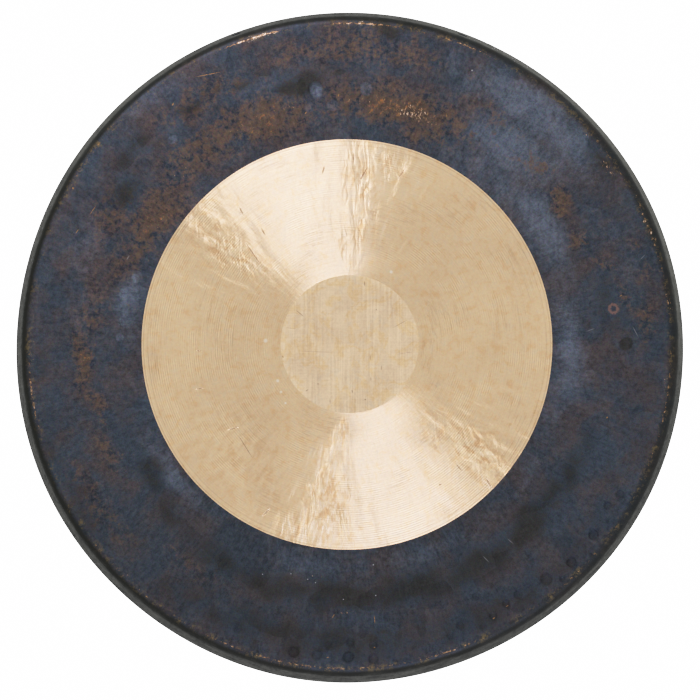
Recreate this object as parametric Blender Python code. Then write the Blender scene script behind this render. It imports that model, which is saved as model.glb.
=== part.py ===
"""A chau gong: one bronze plate, forged to a shallow dome with its rim turned back.

Units are metres and +Z is up. The gong hangs upright: its struck face looks along -Y,
its rim is turned back along +Y, and the origin is the middle of its bounding box.
"""
import math

import bmesh
import bpy
from mathutils import Matrix, Vector

# Outline of the gong
OUTER_DIAMETER = 0.610
RIM_SLANT_LENGTH = 0.029
RIM_FLARE = math.radians(14.5)
SHOULDER_INNER_RADIUS = 0.0068
FACE_EDGE_SLOPE = math.radians(3.5)

# Thickness of the bronze
CENTRE_WALL = 0.0024
EDGE_WALL = 0.0019

# Lathe work on the face and behind it
SPOT_DIAMETER = 0.1258
RING_DIAMETER = 0.3694
BACK_RING_DIAMETER = 0.362
SPOT_SCRAPE = 0.00010
LATHE_CUT = 0.00025
STEP_WIDTH = 0.0008
LATHE_SHIFT_X = -0.0024
LATHE_SHIFT_Z = 0.0002

# Holes for the hanging cord, through the turned rim, and the drill's reach past its wall
HOLE_DIAMETER = 0.009
HOLE_ANGLE_FROM_TOP = math.radians(20)
HOLE_SETBACK = 0.016
DRILL_REACH = 0.005

# Hammering leaves the rim out of round: lobes, height and the angle of the first peak
OUT_OF_ROUND = (
    (2, 0.00073, math.radians(84)),
    (3, 0.00052, math.radians(-9)),
    (5, 0.00026, math.radians(-21)),
    (6, 0.00025, math.radians(25)),
)
# The same hammering leaves long, low waves in the dark outer field of the face
FIELD_WAVE_HEIGHT = 0.00035
FIELD_WAVE_LOBES = 7

# Fineness of the model
SEGMENTS = 120
SHOULDER_STEPS = 8
DOME_STEPS = 4
HOLE_SIDES = 24
WELD_DISTANCE = 1e-6
SHARP_ANGLE = math.radians(25)

# Finishes of the bronze, in the order of the mesh's materials: name, colour, metallic, roughness
FINISHES = (
    ("oxidised_bronze", (0.055, 0.066, 0.085), 0.75, 0.42),
    ("lathed_bronze", (0.80, 0.62, 0.36), 1.0, 0.30),
    ("brushed_bronze", (0.70, 0.58, 0.38), 1.0, 0.38),
)
OXIDE, LATHED, BRUSHED = range(len(FINISHES))

OUTER_RADIUS = OUTER_DIAMETER / 2
SPOT_RADIUS = SPOT_DIAMETER / 2
RING_RADIUS = RING_DIAMETER / 2
BACK_RING_RADIUS = BACK_RING_DIAMETER / 2
RIM_TANGENT = math.pi / 2 - RIM_FLARE
SHOULDER_RADIUS = SHOULDER_INNER_RADIUS + EDGE_WALL
RIM_RUN = RIM_SLANT_LENGTH * math.sin(RIM_FLARE)
SHOULDER_RUN = SHOULDER_RADIUS * (math.sin(RIM_TANGENT) - math.sin(FACE_EDGE_SLOPE))
FACE_RADIUS = OUTER_RADIUS - RIM_RUN - SHOULDER_RUN


def skin_depth(radius):
    """Depth of the forged front skin behind the foremost plane of the face."""
    beyond_spot = max(radius - SPOT_RADIUS, 0.0)
    dome_width = FACE_RADIUS - SPOT_RADIUS
    return math.tan(FACE_EDGE_SLOPE) * beyond_spot ** 2 / (2 * dome_width)


def wall_at(radius):
    """Thickness of the plate, which thins from its centre to the shoulder."""
    share = max(radius - SPOT_RADIUS, 0.0) / (FACE_RADIUS - SPOT_RADIUS)
    return CENTRE_WALL + (EDGE_WALL - CENTRE_WALL) * share


def evenly(start, end, steps):
    """Values from start to end, with both of them."""
    return [start + (end - start) * step / steps for step in range(steps + 1)]


FACE_DEPTH = skin_depth(FACE_RADIUS)
ARC_CENTRE_RADIUS = FACE_RADIUS - SHOULDER_RADIUS * math.sin(FACE_EDGE_SLOPE)
ARC_CENTRE_DEPTH = FACE_DEPTH + SHOULDER_RADIUS * math.cos(FACE_EDGE_SLOPE)
RIM_DEPTH = (ARC_CENTRE_DEPTH - SHOULDER_RADIUS * math.cos(RIM_TANGENT)
             + RIM_SLANT_LENGTH * math.cos(RIM_FLARE))


def shoulder_arc(arc_radius):
    """The rounded corner between face and rim, outside or inside the plate."""
    return [
        (ARC_CENTRE_RADIUS + arc_radius * math.sin(angle),
         ARC_CENTRE_DEPTH - arc_radius * math.cos(angle))
        for angle in evenly(FACE_EDGE_SLOPE, RIM_TANGENT, SHOULDER_STEPS)
    ]


def front_profile():
    """The struck side, from its centre out to the shoulder: spot, lathed ring, dark field."""
    spot_end = SPOT_RADIUS - STEP_WIDTH
    ring_end = RING_RADIUS - STEP_WIDTH
    points = [(0.0, SPOT_SCRAPE), (spot_end, SPOT_SCRAPE)]
    points += [(radius, skin_depth(radius) + LATHE_CUT)
               for radius in evenly(SPOT_RADIUS, ring_end, DOME_STEPS)]
    points += [(radius, skin_depth(radius))
               for radius in evenly(RING_RADIUS, FACE_RADIUS, DOME_STEPS)[:-1]]
    return points


def back_profile():
    """The hidden side, from the shoulder in to the centre, with its own lathed ring."""
    ring_end = BACK_RING_RADIUS - STEP_WIDTH
    points = [(radius, skin_depth(radius) + wall_at(radius))
              for radius in evenly(FACE_RADIUS, BACK_RING_RADIUS, DOME_STEPS)[1:]]
    points += [(radius, skin_depth(radius) + wall_at(radius) - LATHE_CUT)
               for radius in evenly(ring_end, SPOT_RADIUS, DOME_STEPS)]
    points += [(SPOT_RADIUS - STEP_WIDTH, CENTRE_WALL), (0.0, CENTRE_WALL)]
    return points


def rim_edge():
    """The flat ground edge of the rim: its outer corner and its inner corner."""
    inner = OUTER_RADIUS - EDGE_WALL / math.cos(RIM_FLARE)
    return [(OUTER_RADIUS, RIM_DEPTH), (inner, RIM_DEPTH)]


def gong_profile():
    """The whole section of the plate as (radius, depth), from front centre to back centre."""
    inner_shoulder = shoulder_arc(SHOULDER_INNER_RADIUS)
    return (front_profile() + shoulder_arc(SHOULDER_RADIUS) + rim_edge()
            + inner_shoulder[::-1] + back_profile())


def angle_in_face(point):
    """Angle of a point round the gong, seen from the front: 0 at +X and 90 degrees at +Z."""
    return math.atan2(point.z, point.x)


def rim_swell(angle):
    """How far the rim stands out of round at one angle."""
    return sum(height * math.cos(lobes * (angle - peak)) for lobes, height, peak in OUT_OF_ROUND)


def smooth_step(value, low, high):
    """0 below low, 1 above high, and an even turn between them."""
    share = min(max((value - low) / (high - low), 0.0), 1.0)
    return share * share * (3 - 2 * share)


def hand_work(point):
    """Where hammering and an off-centre lathe leave a point of the true turned form."""
    radius = math.hypot(point.x, point.z)
    if radius == 0.0:
        return point + Vector((LATHE_SHIFT_X, 0.0, LATHE_SHIFT_Z))
    angle = angle_in_face(point)
    outward = Vector((point.x, 0.0, point.z)) / radius
    in_rim = smooth_step(radius, RING_RADIUS, FACE_RADIUS)
    on_lathe = 1 - in_rim
    # The waves are full halfway across the field, where both shares are a half
    in_field = in_rim * on_lathe / 0.25
    wave = FIELD_WAVE_HEIGHT * in_field * math.cos(FIELD_WAVE_LOBES * angle)
    moved = point + outward * rim_swell(angle) * in_rim
    return moved + Vector((LATHE_SHIFT_X * on_lathe, wave, LATHE_SHIFT_Z * on_lathe))


def new_material(name, colour, metallic, roughness):
    """A Principled material for one finish of the bronze."""
    material = bpy.data.materials.new(name)
    material.use_nodes = True
    shader = material.node_tree.nodes["Principled BSDF"]
    shader.inputs["Base Color"].default_value = (*colour, 1.0)
    shader.inputs["Metallic"].default_value = metallic
    shader.inputs["Roughness"].default_value = roughness
    material.diffuse_color = (*colour, 1.0)
    return material


def turned_plate():
    """The plate turned from its section, with the marks of handwork, centred on its box."""
    shape = bmesh.new()
    section = [shape.verts.new((radius, depth, 0.0)) for radius, depth in gong_profile()]
    edges = [shape.edges.new(pair) for pair in zip(section, section[1:])]
    bmesh.ops.spin(shape, geom=section + edges, cent=(0, 0, 0), axis=(0, 1, 0),
                   angle=math.tau, steps=SEGMENTS, use_merge=True)
    bmesh.ops.remove_doubles(shape, verts=shape.verts, dist=WELD_DISTANCE)
    for vert in shape.verts:
        vert.co = hand_work(vert.co)
    bmesh.ops.recalc_face_normals(shape, faces=shape.faces)
    low = Vector(min(vert.co[axis] for vert in shape.verts) for axis in range(3))
    high = Vector(max(vert.co[axis] for vert in shape.verts) for axis in range(3))
    middle = (low + high) / 2
    bmesh.ops.translate(shape, verts=shape.verts, vec=-middle)
    return shape, middle


def paint_zones(shape, middle):
    """Give each face its finish: lathed rings, a brushed spot, and dark skin elsewhere."""
    for face in shape.faces:
        centre = face.calc_center_median() + middle
        radius = math.hypot(centre.x - LATHE_SHIFT_X, centre.z - LATHE_SHIFT_Z)
        front = face.normal.y < 0
        ring_end = RING_RADIUS if front else BACK_RING_RADIUS
        if radius < SPOT_RADIUS - STEP_WIDTH:
            face.material_index = BRUSHED
        elif radius < ring_end - STEP_WIDTH:
            face.material_index = LATHED
        else:
            face.material_index = OXIDE


def hole_centre(side, middle):
    """Middle of one hanging hole in the rim's wall; side is -1 or +1."""
    depth = RIM_DEPTH - HOLE_SETBACK
    outside = OUTER_RADIUS - HOLE_SETBACK * math.tan(RIM_FLARE)
    radius = outside - EDGE_WALL / math.cos(RIM_FLARE) / 2
    across = side * radius * math.sin(HOLE_ANGLE_FROM_TOP)
    up = radius * math.cos(HOLE_ANGLE_FROM_TOP)
    swell = rim_swell(math.atan2(up, across)) / radius
    return Vector((across * (1 + swell), depth, up * (1 + swell))) - middle


def hole_cutter(name, side, middle):
    """A drill through the rim, square to its slanting wall."""
    bit = bmesh.new()
    bmesh.ops.create_cone(bit, cap_ends=True, segments=HOLE_SIDES, radius1=HOLE_DIAMETER / 2,
                          radius2=HOLE_DIAMETER / 2, depth=EDGE_WALL + 2 * DRILL_REACH)
    turn = (Matrix.Translation(hole_centre(side, middle))
            @ Matrix.Rotation(side * HOLE_ANGLE_FROM_TOP, 4, "Y")
            @ Matrix.Rotation(RIM_FLARE, 4, "X"))
    mesh = bpy.data.meshes.new(name)
    bit.to_mesh(mesh)
    bit.free()
    cutter = bpy.data.objects.new(name, mesh)
    cutter.matrix_world = turn
    cutter.hide_render = True
    cutter.display_type = "WIRE"
    bpy.context.collection.objects.link(cutter)
    return cutter


def gong_disc():
    """The gong itself, with a drilled hole for the cord on each side of its top."""
    shape, middle = turned_plate()
    paint_zones(shape, middle)
    mesh = bpy.data.meshes.new("gong_disc")
    shape.to_mesh(mesh)
    shape.free()
    for finish in FINISHES:
        mesh.materials.append(new_material(*finish))
    mesh.shade_smooth()
    mesh.set_sharp_from_angle(angle=SHARP_ANGLE)
    disc = bpy.data.objects.new("gong_disc", mesh)
    bpy.context.collection.objects.link(disc)
    for name, side in (("left_hole_drill", -1), ("right_hole_drill", 1)):
        hole = disc.modifiers.new(name, "BOOLEAN")
        hole.operation = "DIFFERENCE"
        hole.solver = "EXACT"
        hole.object = hole_cutter(name, side, middle)
        place = hole_centre(side, middle)
        print(name, "at", [round(value, 5) for value in place])
    edge_depth = RIM_DEPTH - middle.y
    print("rim edge plane at y", round(edge_depth, 5), "middle of its wall at radius",
          round(OUTER_RADIUS - EDGE_WALL / math.cos(RIM_FLARE) / 2, 5))
    print("box middle in the turned frame", [round(value, 6) for value in middle])
    return disc


def clear_scene():
    """Start from an empty file."""
    for old in list(bpy.data.objects):
        bpy.data.objects.remove(old)


clear_scene()
gong_disc()
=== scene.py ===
# %% [markdown]
# # A hammered bronze gong
#
# This lesson dresses one object: a chau gong, a plate of tin bronze about 610 mm across. A smith
# forges it to a shallow dome and turns its rim back. The fire leaves a dark blue-grey skin. A
# scraping lathe then cuts a bright ring through that skin, and the middle is brushed bright.
#
# The model's size and place come from a imported CAD frame, which stays as it is. The first step
# loads that frame and keeps its box.

# %% Load the fixed frame
import math

import bpy
import numpy as np
from mathutils import Euler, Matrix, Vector, noise


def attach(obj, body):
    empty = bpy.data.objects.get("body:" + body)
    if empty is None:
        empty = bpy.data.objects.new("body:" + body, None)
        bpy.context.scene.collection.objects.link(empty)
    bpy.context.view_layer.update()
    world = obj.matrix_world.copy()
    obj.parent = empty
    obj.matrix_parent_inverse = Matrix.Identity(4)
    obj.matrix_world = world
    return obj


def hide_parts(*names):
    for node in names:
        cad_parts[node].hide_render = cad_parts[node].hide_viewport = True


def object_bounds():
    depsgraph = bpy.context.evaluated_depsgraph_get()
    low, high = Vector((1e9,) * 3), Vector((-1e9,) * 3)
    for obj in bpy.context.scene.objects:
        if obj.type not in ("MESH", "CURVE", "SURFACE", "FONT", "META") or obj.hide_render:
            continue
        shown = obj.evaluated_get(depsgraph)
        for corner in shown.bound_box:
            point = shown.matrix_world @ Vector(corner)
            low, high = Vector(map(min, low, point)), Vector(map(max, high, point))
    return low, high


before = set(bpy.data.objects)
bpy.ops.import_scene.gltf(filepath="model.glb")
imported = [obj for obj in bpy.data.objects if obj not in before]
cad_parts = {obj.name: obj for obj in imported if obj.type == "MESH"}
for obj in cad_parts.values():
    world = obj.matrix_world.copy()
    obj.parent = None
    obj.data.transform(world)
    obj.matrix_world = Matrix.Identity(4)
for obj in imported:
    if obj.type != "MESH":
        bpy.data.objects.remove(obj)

cad_low, cad_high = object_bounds()
print("CAD box in mm", [round(1000 * side, 1) for side in cad_high - cad_low])

# %% [markdown]
# ## The camera
#
# A gong this flat can be pictured with any lens, but its turned rim gives the camera away. It
# shows all the way round, and a little wider below than above. So the camera stands about 3 m
# away with a long lens, a little below the gong's middle, and looks slightly up.

# %% Stand the camera where the photographer stood
CAMERA_DISTANCE = 3.0
CAMERA_ELEVATION = math.radians(-2.65)
CAMERA_AZIMUTH = math.radians(-0.2)
AIM = Vector((0.0, 0.0, -0.0044))
FIELD_OF_VIEW = math.radians(12.053)


def direction_from(azimuth, elevation):
    """Unit vector from the gong towards an eye or a lamp; azimuth 0 is straight in front."""
    level = math.cos(elevation)
    return Vector((math.sin(azimuth) * level, -math.cos(azimuth) * level, math.sin(elevation)))


camera_data = bpy.data.cameras.new("photo_camera")
camera_data.angle = FIELD_OF_VIEW
camera = bpy.data.objects.new("photo_camera", camera_data)
camera.location = direction_from(CAMERA_AZIMUTH, CAMERA_ELEVATION) * CAMERA_DISTANCE
camera.rotation_euler = (AIM - camera.location).to_track_quat("-Z", "Y").to_euler()
bpy.context.scene.collection.objects.link(camera)
bpy.context.scene.camera = camera
print("camera at", [round(value, 3) for value in camera.location], "lens", round(camera_data.lens, 1))

# %% [markdown]
# ## The studio
#
# Polished metal shows its surroundings more than itself, so the studio is half of the finish.
# One long soft lamp stands high in front and slightly to the left, and a weaker one faces it from
# low on the other side. Everything else is an even, dimmer white. The lathe's grooves spread the
# two lamps into a bow tie that points at them, and the evenly lit rest of the bronze keeps its own
# tan colour. A third lamp behind shows the back's ring in the same way. The lamps' faint violet
# and blue tints keep the bronze's highlights cream instead of yellow.
#
# The sheet of white behind the gong is brighter than the room in front of it, as it is in a
# product studio. A light path test does the same: rays from the camera see the bright sheet,
# and rays from the bronze see the room.

# %% White room
ROOM_LIGHT = 0.90
BACKDROP_LIGHT = 3.6

world = bpy.data.worlds.new("studio")
bpy.context.scene.world = world
world.use_nodes = True
room = world.node_tree.nodes["Background"]
room.inputs["Color"].default_value = (1.0, 1.0, 1.0, 1.0)
room.inputs["Strength"].default_value = ROOM_LIGHT
backdrop = world.node_tree.nodes.new("ShaderNodeBackground")
backdrop.inputs["Strength"].default_value = BACKDROP_LIGHT
eye = world.node_tree.nodes.new("ShaderNodeLightPath")
either = world.node_tree.nodes.new("ShaderNodeMixShader")
world.node_tree.links.new(eye.outputs["Is Camera Ray"], either.inputs["Fac"])
world.node_tree.links.new(room.outputs[0], either.inputs[1])
world.node_tree.links.new(backdrop.outputs[0], either.inputs[2])
world.node_tree.links.new(either.outputs[0], world.node_tree.nodes["World Output"].inputs["Surface"])

# %% Soft lamps
LAMP_DISTANCE = 2.0
LAMP_OFF_AXIS = math.radians(48)
LAMP_ROUND_THE_GONG = math.radians(110)
LAMP_WIDTH = 1.18
LAMP_HEIGHT = 0.40
LAMP_TINT = (0.91, 0.81, 1.0)
LOW_LAMP_TINT = (0.80, 0.85, 1.32)
LAMP_POWER = 23.5
LOW_LAMP_ROUND_THE_GONG = math.radians(-75.5)
LOW_LAMP_POWER = 13.5
BACK_LAMP_POWER = 24.0
BACK_LAMP_OFF_AXIS = math.radians(168)


def soft_lamp(name, power, tint, off_axis, round_the_gong):
    """A soft box that faces the gong. Its angles are from the gong's axis and round the gong."""
    light = bpy.data.lights.new(name, "AREA")
    light.shape = "RECTANGLE"
    light.size = LAMP_WIDTH
    light.size_y = LAMP_HEIGHT
    light.energy = power
    light.color = tint
    lamp = bpy.data.objects.new(name, light)
    lamp.location = LAMP_DISTANCE * Vector((
        math.sin(off_axis) * math.cos(round_the_gong),
        -math.cos(off_axis),
        math.sin(off_axis) * math.sin(round_the_gong)))
    lamp.rotation_euler = (math.pi / 2 - off_axis, math.pi / 2 - round_the_gong, 0)
    lamp.visible_camera = False
    bpy.context.scene.collection.objects.link(lamp)
    print(name, "at", [round(value, 2) for value in lamp.location])


soft_lamp("high_lamp", LAMP_POWER, LAMP_TINT, LAMP_OFF_AXIS, LAMP_ROUND_THE_GONG)
soft_lamp("low_lamp", LOW_LAMP_POWER, LOW_LAMP_TINT, LAMP_OFF_AXIS, LOW_LAMP_ROUND_THE_GONG)
soft_lamp("back_lamp", BACK_LAMP_POWER, LAMP_TINT, BACK_LAMP_OFF_AXIS, LAMP_ROUND_THE_GONG)

# %% Floor
FLOOR_DROP = 1.75
FLOOR_RADIUS = 6.0
FLOOR_SIDES = 96

bpy.ops.object.select_all(action="DESELECT")
bpy.ops.mesh.primitive_circle_add(vertices=FLOOR_SIDES, radius=FLOOR_RADIUS, fill_type="NGON",
                                  location=(0, 0, -FLOOR_DROP))
floor = bpy.context.object
floor.name = "floor"
floor_finish = bpy.data.materials.new("pale_floor")
floor_finish.use_nodes = True
floor_shader = floor_finish.node_tree.nodes["Principled BSDF"]
floor_shader.inputs["Base Color"].default_value = (0.86, 0.86, 0.86, 1.0)
floor_shader.inputs["Roughness"].default_value = 1.0
floor_shader.inputs["Specular IOR Level"].default_value = 0.0
floor.data.materials.append(floor_finish)

# %% [markdown]
# A photographic film or sensor doesn't clip its highlights: past mid-grey each colour channel
# levels off towards white. Golden highlights turn cream that way. The view's curve below
# copies it. It is straight up to the knee, and then bends gently to white.

# %% Film response
KNEE = 0.45
FILM_WHITE = 3.5
CURVE_STEPS = 10
ALL_CHANNELS = 3


def film(light):
    """Brightness on film, from 0 to 1, for a scene brightness from 0 to FILM_WHITE."""
    if light <= KNEE:
        return light
    room_left = 1 - KNEE
    return KNEE + room_left * (1 - math.exp(-(light - KNEE) / room_left))


view = bpy.context.scene.view_settings
view.view_transform = "Standard"
view.look = "None"
view.use_curve_mapping = True
response = view.curve_mapping
response.white_level = (FILM_WHITE, FILM_WHITE, FILM_WHITE)
curve = response.curves[ALL_CHANNELS]
lights = [KNEE * step / 3 for step in range(1, 4)]
lights += [KNEE + (FILM_WHITE - KNEE) * (step / CURVE_STEPS) ** 2 for step in range(1, CURVE_STEPS)]
for light in lights:
    curve.points.new(light / FILM_WHITE, film(light) / film(FILM_WHITE))
response.update()
print("film response at 0.45, 1 and 2:", [round(film(light), 3) for light in (0.45, 1, 2)])

# %% [markdown]
# ## The section of the plate
#
# A gong is round, so one section turned about its axis gives the whole plate. The section is
# the smith's own: a nearly flat spot that is struck, a dome that steepens towards the edge, a
# shoulder rounded over an anvil, and a rim that flares a little on its way back. The outer
# diameter comes from the frame's box, whose sides differ because hammering left it out of round.

# %% Sizes of the plate
OUTER_DIAMETER = (cad_high.x - cad_low.x + cad_high.z - cad_low.z) / 2
RIM_SLANT_LENGTH = 0.029
RIM_FLARE = math.radians(14.5)
SHOULDER_INNER_RADIUS = 0.0068
FACE_EDGE_SLOPE = math.radians(3.5)
CENTRE_WALL = 0.0024
EDGE_WALL = 0.0019
SPOT_RADIUS = 0.0629
RING_RADIUS = 0.1847
BACK_RING_RADIUS = 0.181
SPOT_SCRAPE = 0.00010
LATHE_CUT = 0.00025
STEP_WIDTH = 0.0008
STEP_EDGE = 0.0006
EDGE_ROUNDING = 0.0004
FRAME_CLEARANCE = 0.0002

OUTER_RADIUS = OUTER_DIAMETER / 2 - FRAME_CLEARANCE
RIM_TANGENT = math.pi / 2 - RIM_FLARE
SHOULDER_RADIUS = SHOULDER_INNER_RADIUS + EDGE_WALL
SHOULDER_RUN = SHOULDER_RADIUS * (math.sin(RIM_TANGENT) - math.sin(FACE_EDGE_SLOPE))
FACE_RADIUS = OUTER_RADIUS - RIM_SLANT_LENGTH * math.sin(RIM_FLARE) - SHOULDER_RUN
print("outer diameter", round(1000 * OUTER_DIAMETER, 1), "mm, face to",
      round(1000 * FACE_RADIUS, 1), "mm from the middle")


# %% Depth of the skin and thickness of the wall
def skin_depth(radius):
    """Depth of the forged front skin behind the foremost plane of the face."""
    beyond_spot = max(radius - SPOT_RADIUS, 0.0)
    return math.tan(FACE_EDGE_SLOPE) * beyond_spot ** 2 / (2 * (FACE_RADIUS - SPOT_RADIUS))


def wall_at(radius):
    """Thickness of the plate, which thins from its centre to the shoulder."""
    share = max(radius - SPOT_RADIUS, 0.0) / (FACE_RADIUS - SPOT_RADIUS)
    return CENTRE_WALL + (EDGE_WALL - CENTRE_WALL) * share


def evenly(start, end, steps):
    """Values from start to end, with both of them."""
    return [start + (end - start) * step / steps for step in range(steps + 1)]


ARC_CENTRE_RADIUS = FACE_RADIUS - SHOULDER_RADIUS * math.sin(FACE_EDGE_SLOPE)
ARC_CENTRE_DEPTH = skin_depth(FACE_RADIUS) + SHOULDER_RADIUS * math.cos(FACE_EDGE_SLOPE)
RIM_DEPTH = (ARC_CENTRE_DEPTH - SHOULDER_RADIUS * math.cos(RIM_TANGENT)
             + RIM_SLANT_LENGTH * math.cos(RIM_FLARE))
print("dome", round(1000 * skin_depth(FACE_RADIUS), 1), "mm, whole depth", round(1000 * RIM_DEPTH, 1))

# %% [markdown]
# The section is a chain of zones, and each zone will wear its own finish. Each starts where the
# one before it ends, and the lathed rings keep the small steps that the tool left at their edges.
# The ring's step faces inwards, so its lower right catches the lamp as a bright line. The face gets
# many points, because it has dents to carry, and the hidden inside of the rim gets few.

# %% Zones of the section
SPOT, RING, FIELD, SHOULDER, RIM, INSIDE, BACK_FIELD, BACK_RING, BACK_SPOT = range(9)
ZONE_STEPS = {SPOT: 5, RING: 18, FIELD: 30, SHOULDER: 9, RIM: 6, INSIDE: 2,
              BACK_FIELD: 8, BACK_RING: 6, BACK_SPOT: 2}


def shoulder_arc(radius, steps):
    """The rounded corner between face and rim, outside or inside the plate."""
    return [(ARC_CENTRE_RADIUS + radius * math.sin(angle), ARC_CENTRE_DEPTH - radius * math.cos(angle))
            for angle in evenly(FACE_EDGE_SLOPE, RIM_TANGENT, steps)]


def straight(start, end, steps):
    """Points on a straight stretch of the section, without its start."""
    return [tuple(Vector(start).lerp(Vector(end), share)) for share in evenly(0, 1, steps)[1:]]


def zone_points():
    """New points that each zone adds to the section, as (radius, depth), from front to back."""
    spot_end = SPOT_RADIUS - STEP_WIDTH
    ring_end = RING_RADIUS - STEP_WIDTH
    spot_radii = evenly(0, spot_end - STEP_EDGE, ZONE_STEPS[SPOT]) + [spot_end]
    ring_radii = ([SPOT_RADIUS] + evenly(SPOT_RADIUS + STEP_EDGE, ring_end - STEP_EDGE, ZONE_STEPS[RING])
                  + [ring_end])
    field_radii = evenly(RING_RADIUS + STEP_EDGE, FACE_RADIUS, ZONE_STEPS[FIELD])
    outer_arc = shoulder_arc(SHOULDER_RADIUS, ZONE_STEPS[SHOULDER])
    inner_arc = shoulder_arc(SHOULDER_INNER_RADIUS, 2 * ZONE_STEPS[INSIDE])[::-1]
    flare_back = EDGE_ROUNDING * math.sin(RIM_FLARE)
    flare_in = EDGE_ROUNDING * math.cos(RIM_FLARE)
    inner_edge = OUTER_RADIUS - EDGE_WALL / math.cos(RIM_FLARE)
    rim_end = (OUTER_RADIUS - flare_back, RIM_DEPTH - flare_in)
    edge = [(OUTER_RADIUS - EDGE_ROUNDING, RIM_DEPTH), (inner_edge + EDGE_ROUNDING, RIM_DEPTH)]
    inside_start = (inner_edge - flare_back, RIM_DEPTH - flare_in)
    back_radii = evenly(FACE_RADIUS, BACK_RING_RADIUS, ZONE_STEPS[BACK_FIELD])[1:]
    back_ring_radii = evenly(BACK_RING_RADIUS - STEP_WIDTH, SPOT_RADIUS, ZONE_STEPS[BACK_RING])
    back_spot_radii = evenly(SPOT_RADIUS - STEP_WIDTH, 0, ZONE_STEPS[BACK_SPOT])
    return {
        SPOT: [(radius, SPOT_SCRAPE) for radius in spot_radii],
        RING: [(radius, skin_depth(radius) + LATHE_CUT) for radius in ring_radii]
              + [(RING_RADIUS, skin_depth(RING_RADIUS))],
        FIELD: [(radius, skin_depth(radius)) for radius in field_radii],
        SHOULDER: outer_arc[1:],
        RIM: straight(outer_arc[-1], rim_end, ZONE_STEPS[RIM]) + edge,
        INSIDE: [inside_start] + straight(inside_start, inner_arc[0], ZONE_STEPS[INSIDE]) + inner_arc[1:],
        BACK_FIELD: [(radius, skin_depth(radius) + wall_at(radius)) for radius in back_radii],
        BACK_RING: [(radius, skin_depth(radius) + wall_at(radius) - LATHE_CUT)
                    for radius in back_ring_radii] + [(back_spot_radii[0], CENTRE_WALL)],
        BACK_SPOT: [(radius, CENTRE_WALL) for radius in back_spot_radii[1:]],
    }


section = []
zone_last = []
for points in zone_points().values():
    section += points
    zone_last.append(len(section) - 1)
gaps = [math.dist(here, after) for here, after in zip(section, section[1:])]
length_along = np.concatenate([[0.0], np.cumsum(gaps)])
zone_ends = length_along[zone_last]
print("the section has", len(section), "points and is", round(1000 * length_along[-1]), "mm long")

# %% [markdown]
# By hand one would draw the section point by point, and the same is done here: a plane is added
# and merged to one point, and the point is extruded along the section. A Screw modifier then
# turns the open line once round the gong's axis. Where the turn closes, and at both middles, the
# copies of the line meet, so their doubles are merged.
#
# Each point also remembers how far along the section it lies. The Screw copies that with the
# point, and the later steps use it to tell the zones apart.

# %% Draw the section
TURN_STEPS = 720
WELD = 1e-6

bpy.ops.object.select_all(action="DESELECT")
first = section[0]
bpy.ops.mesh.primitive_plane_add(size=0.01, location=(0, 0, 0))
gong = bpy.context.object
gong.name = "gong_plate"
gong.data.name = "gong_plate"
bpy.ops.object.mode_set(mode="EDIT")
bpy.ops.mesh.select_all(action="SELECT")
bpy.ops.mesh.merge(type="CENTER")
bpy.ops.transform.translate(value=(first[0], first[1], 0))
for here, after in zip(section, section[1:]):
    bpy.ops.mesh.extrude_vertices_move(
        TRANSFORM_OT_translate={"value": (after[0] - here[0], after[1] - here[1], 0)})
bpy.ops.object.mode_set(mode="OBJECT")
gong.data.attributes.new("along", "FLOAT", "POINT").data.foreach_set("value", length_along)
print("drawn", len(gong.data.vertices), "points")


# %% Turn the section
def make_active(piece):
    """Select one piece alone."""
    bpy.ops.object.select_all(action="DESELECT")
    piece.select_set(True)
    bpy.context.view_layer.objects.active = piece


def apply_modifier(piece, name):
    """Apply one modifier of a piece, as its Apply button would."""
    make_active(piece)
    bpy.ops.object.modifier_apply(modifier=name)


turn = gong.modifiers.new("turn", "SCREW")
turn.axis = "Y"
turn.steps = TURN_STEPS
turn.render_steps = TURN_STEPS
turn.use_merge_vertices = True
turn.merge_threshold = WELD
apply_modifier(gong, "turn")
bpy.ops.object.mode_set(mode="EDIT")
bpy.ops.mesh.select_all(action="SELECT")
bpy.ops.mesh.remove_doubles(threshold=WELD)
bpy.ops.mesh.normals_make_consistent(inside=False)
bpy.ops.object.mode_set(mode="OBJECT")
print("turned plate:", len(gong.data.vertices), "points,", len(gong.data.polygons), "faces")

# %% [markdown]
# The last tuning blows of a small round hammer left peen marks near the edge, most of them below.
# They are about 9 mm wide, so the turned mesh is too coarse for them. The faces round each mark
# are subdivided first, and the marks are sunk in later.

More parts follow.
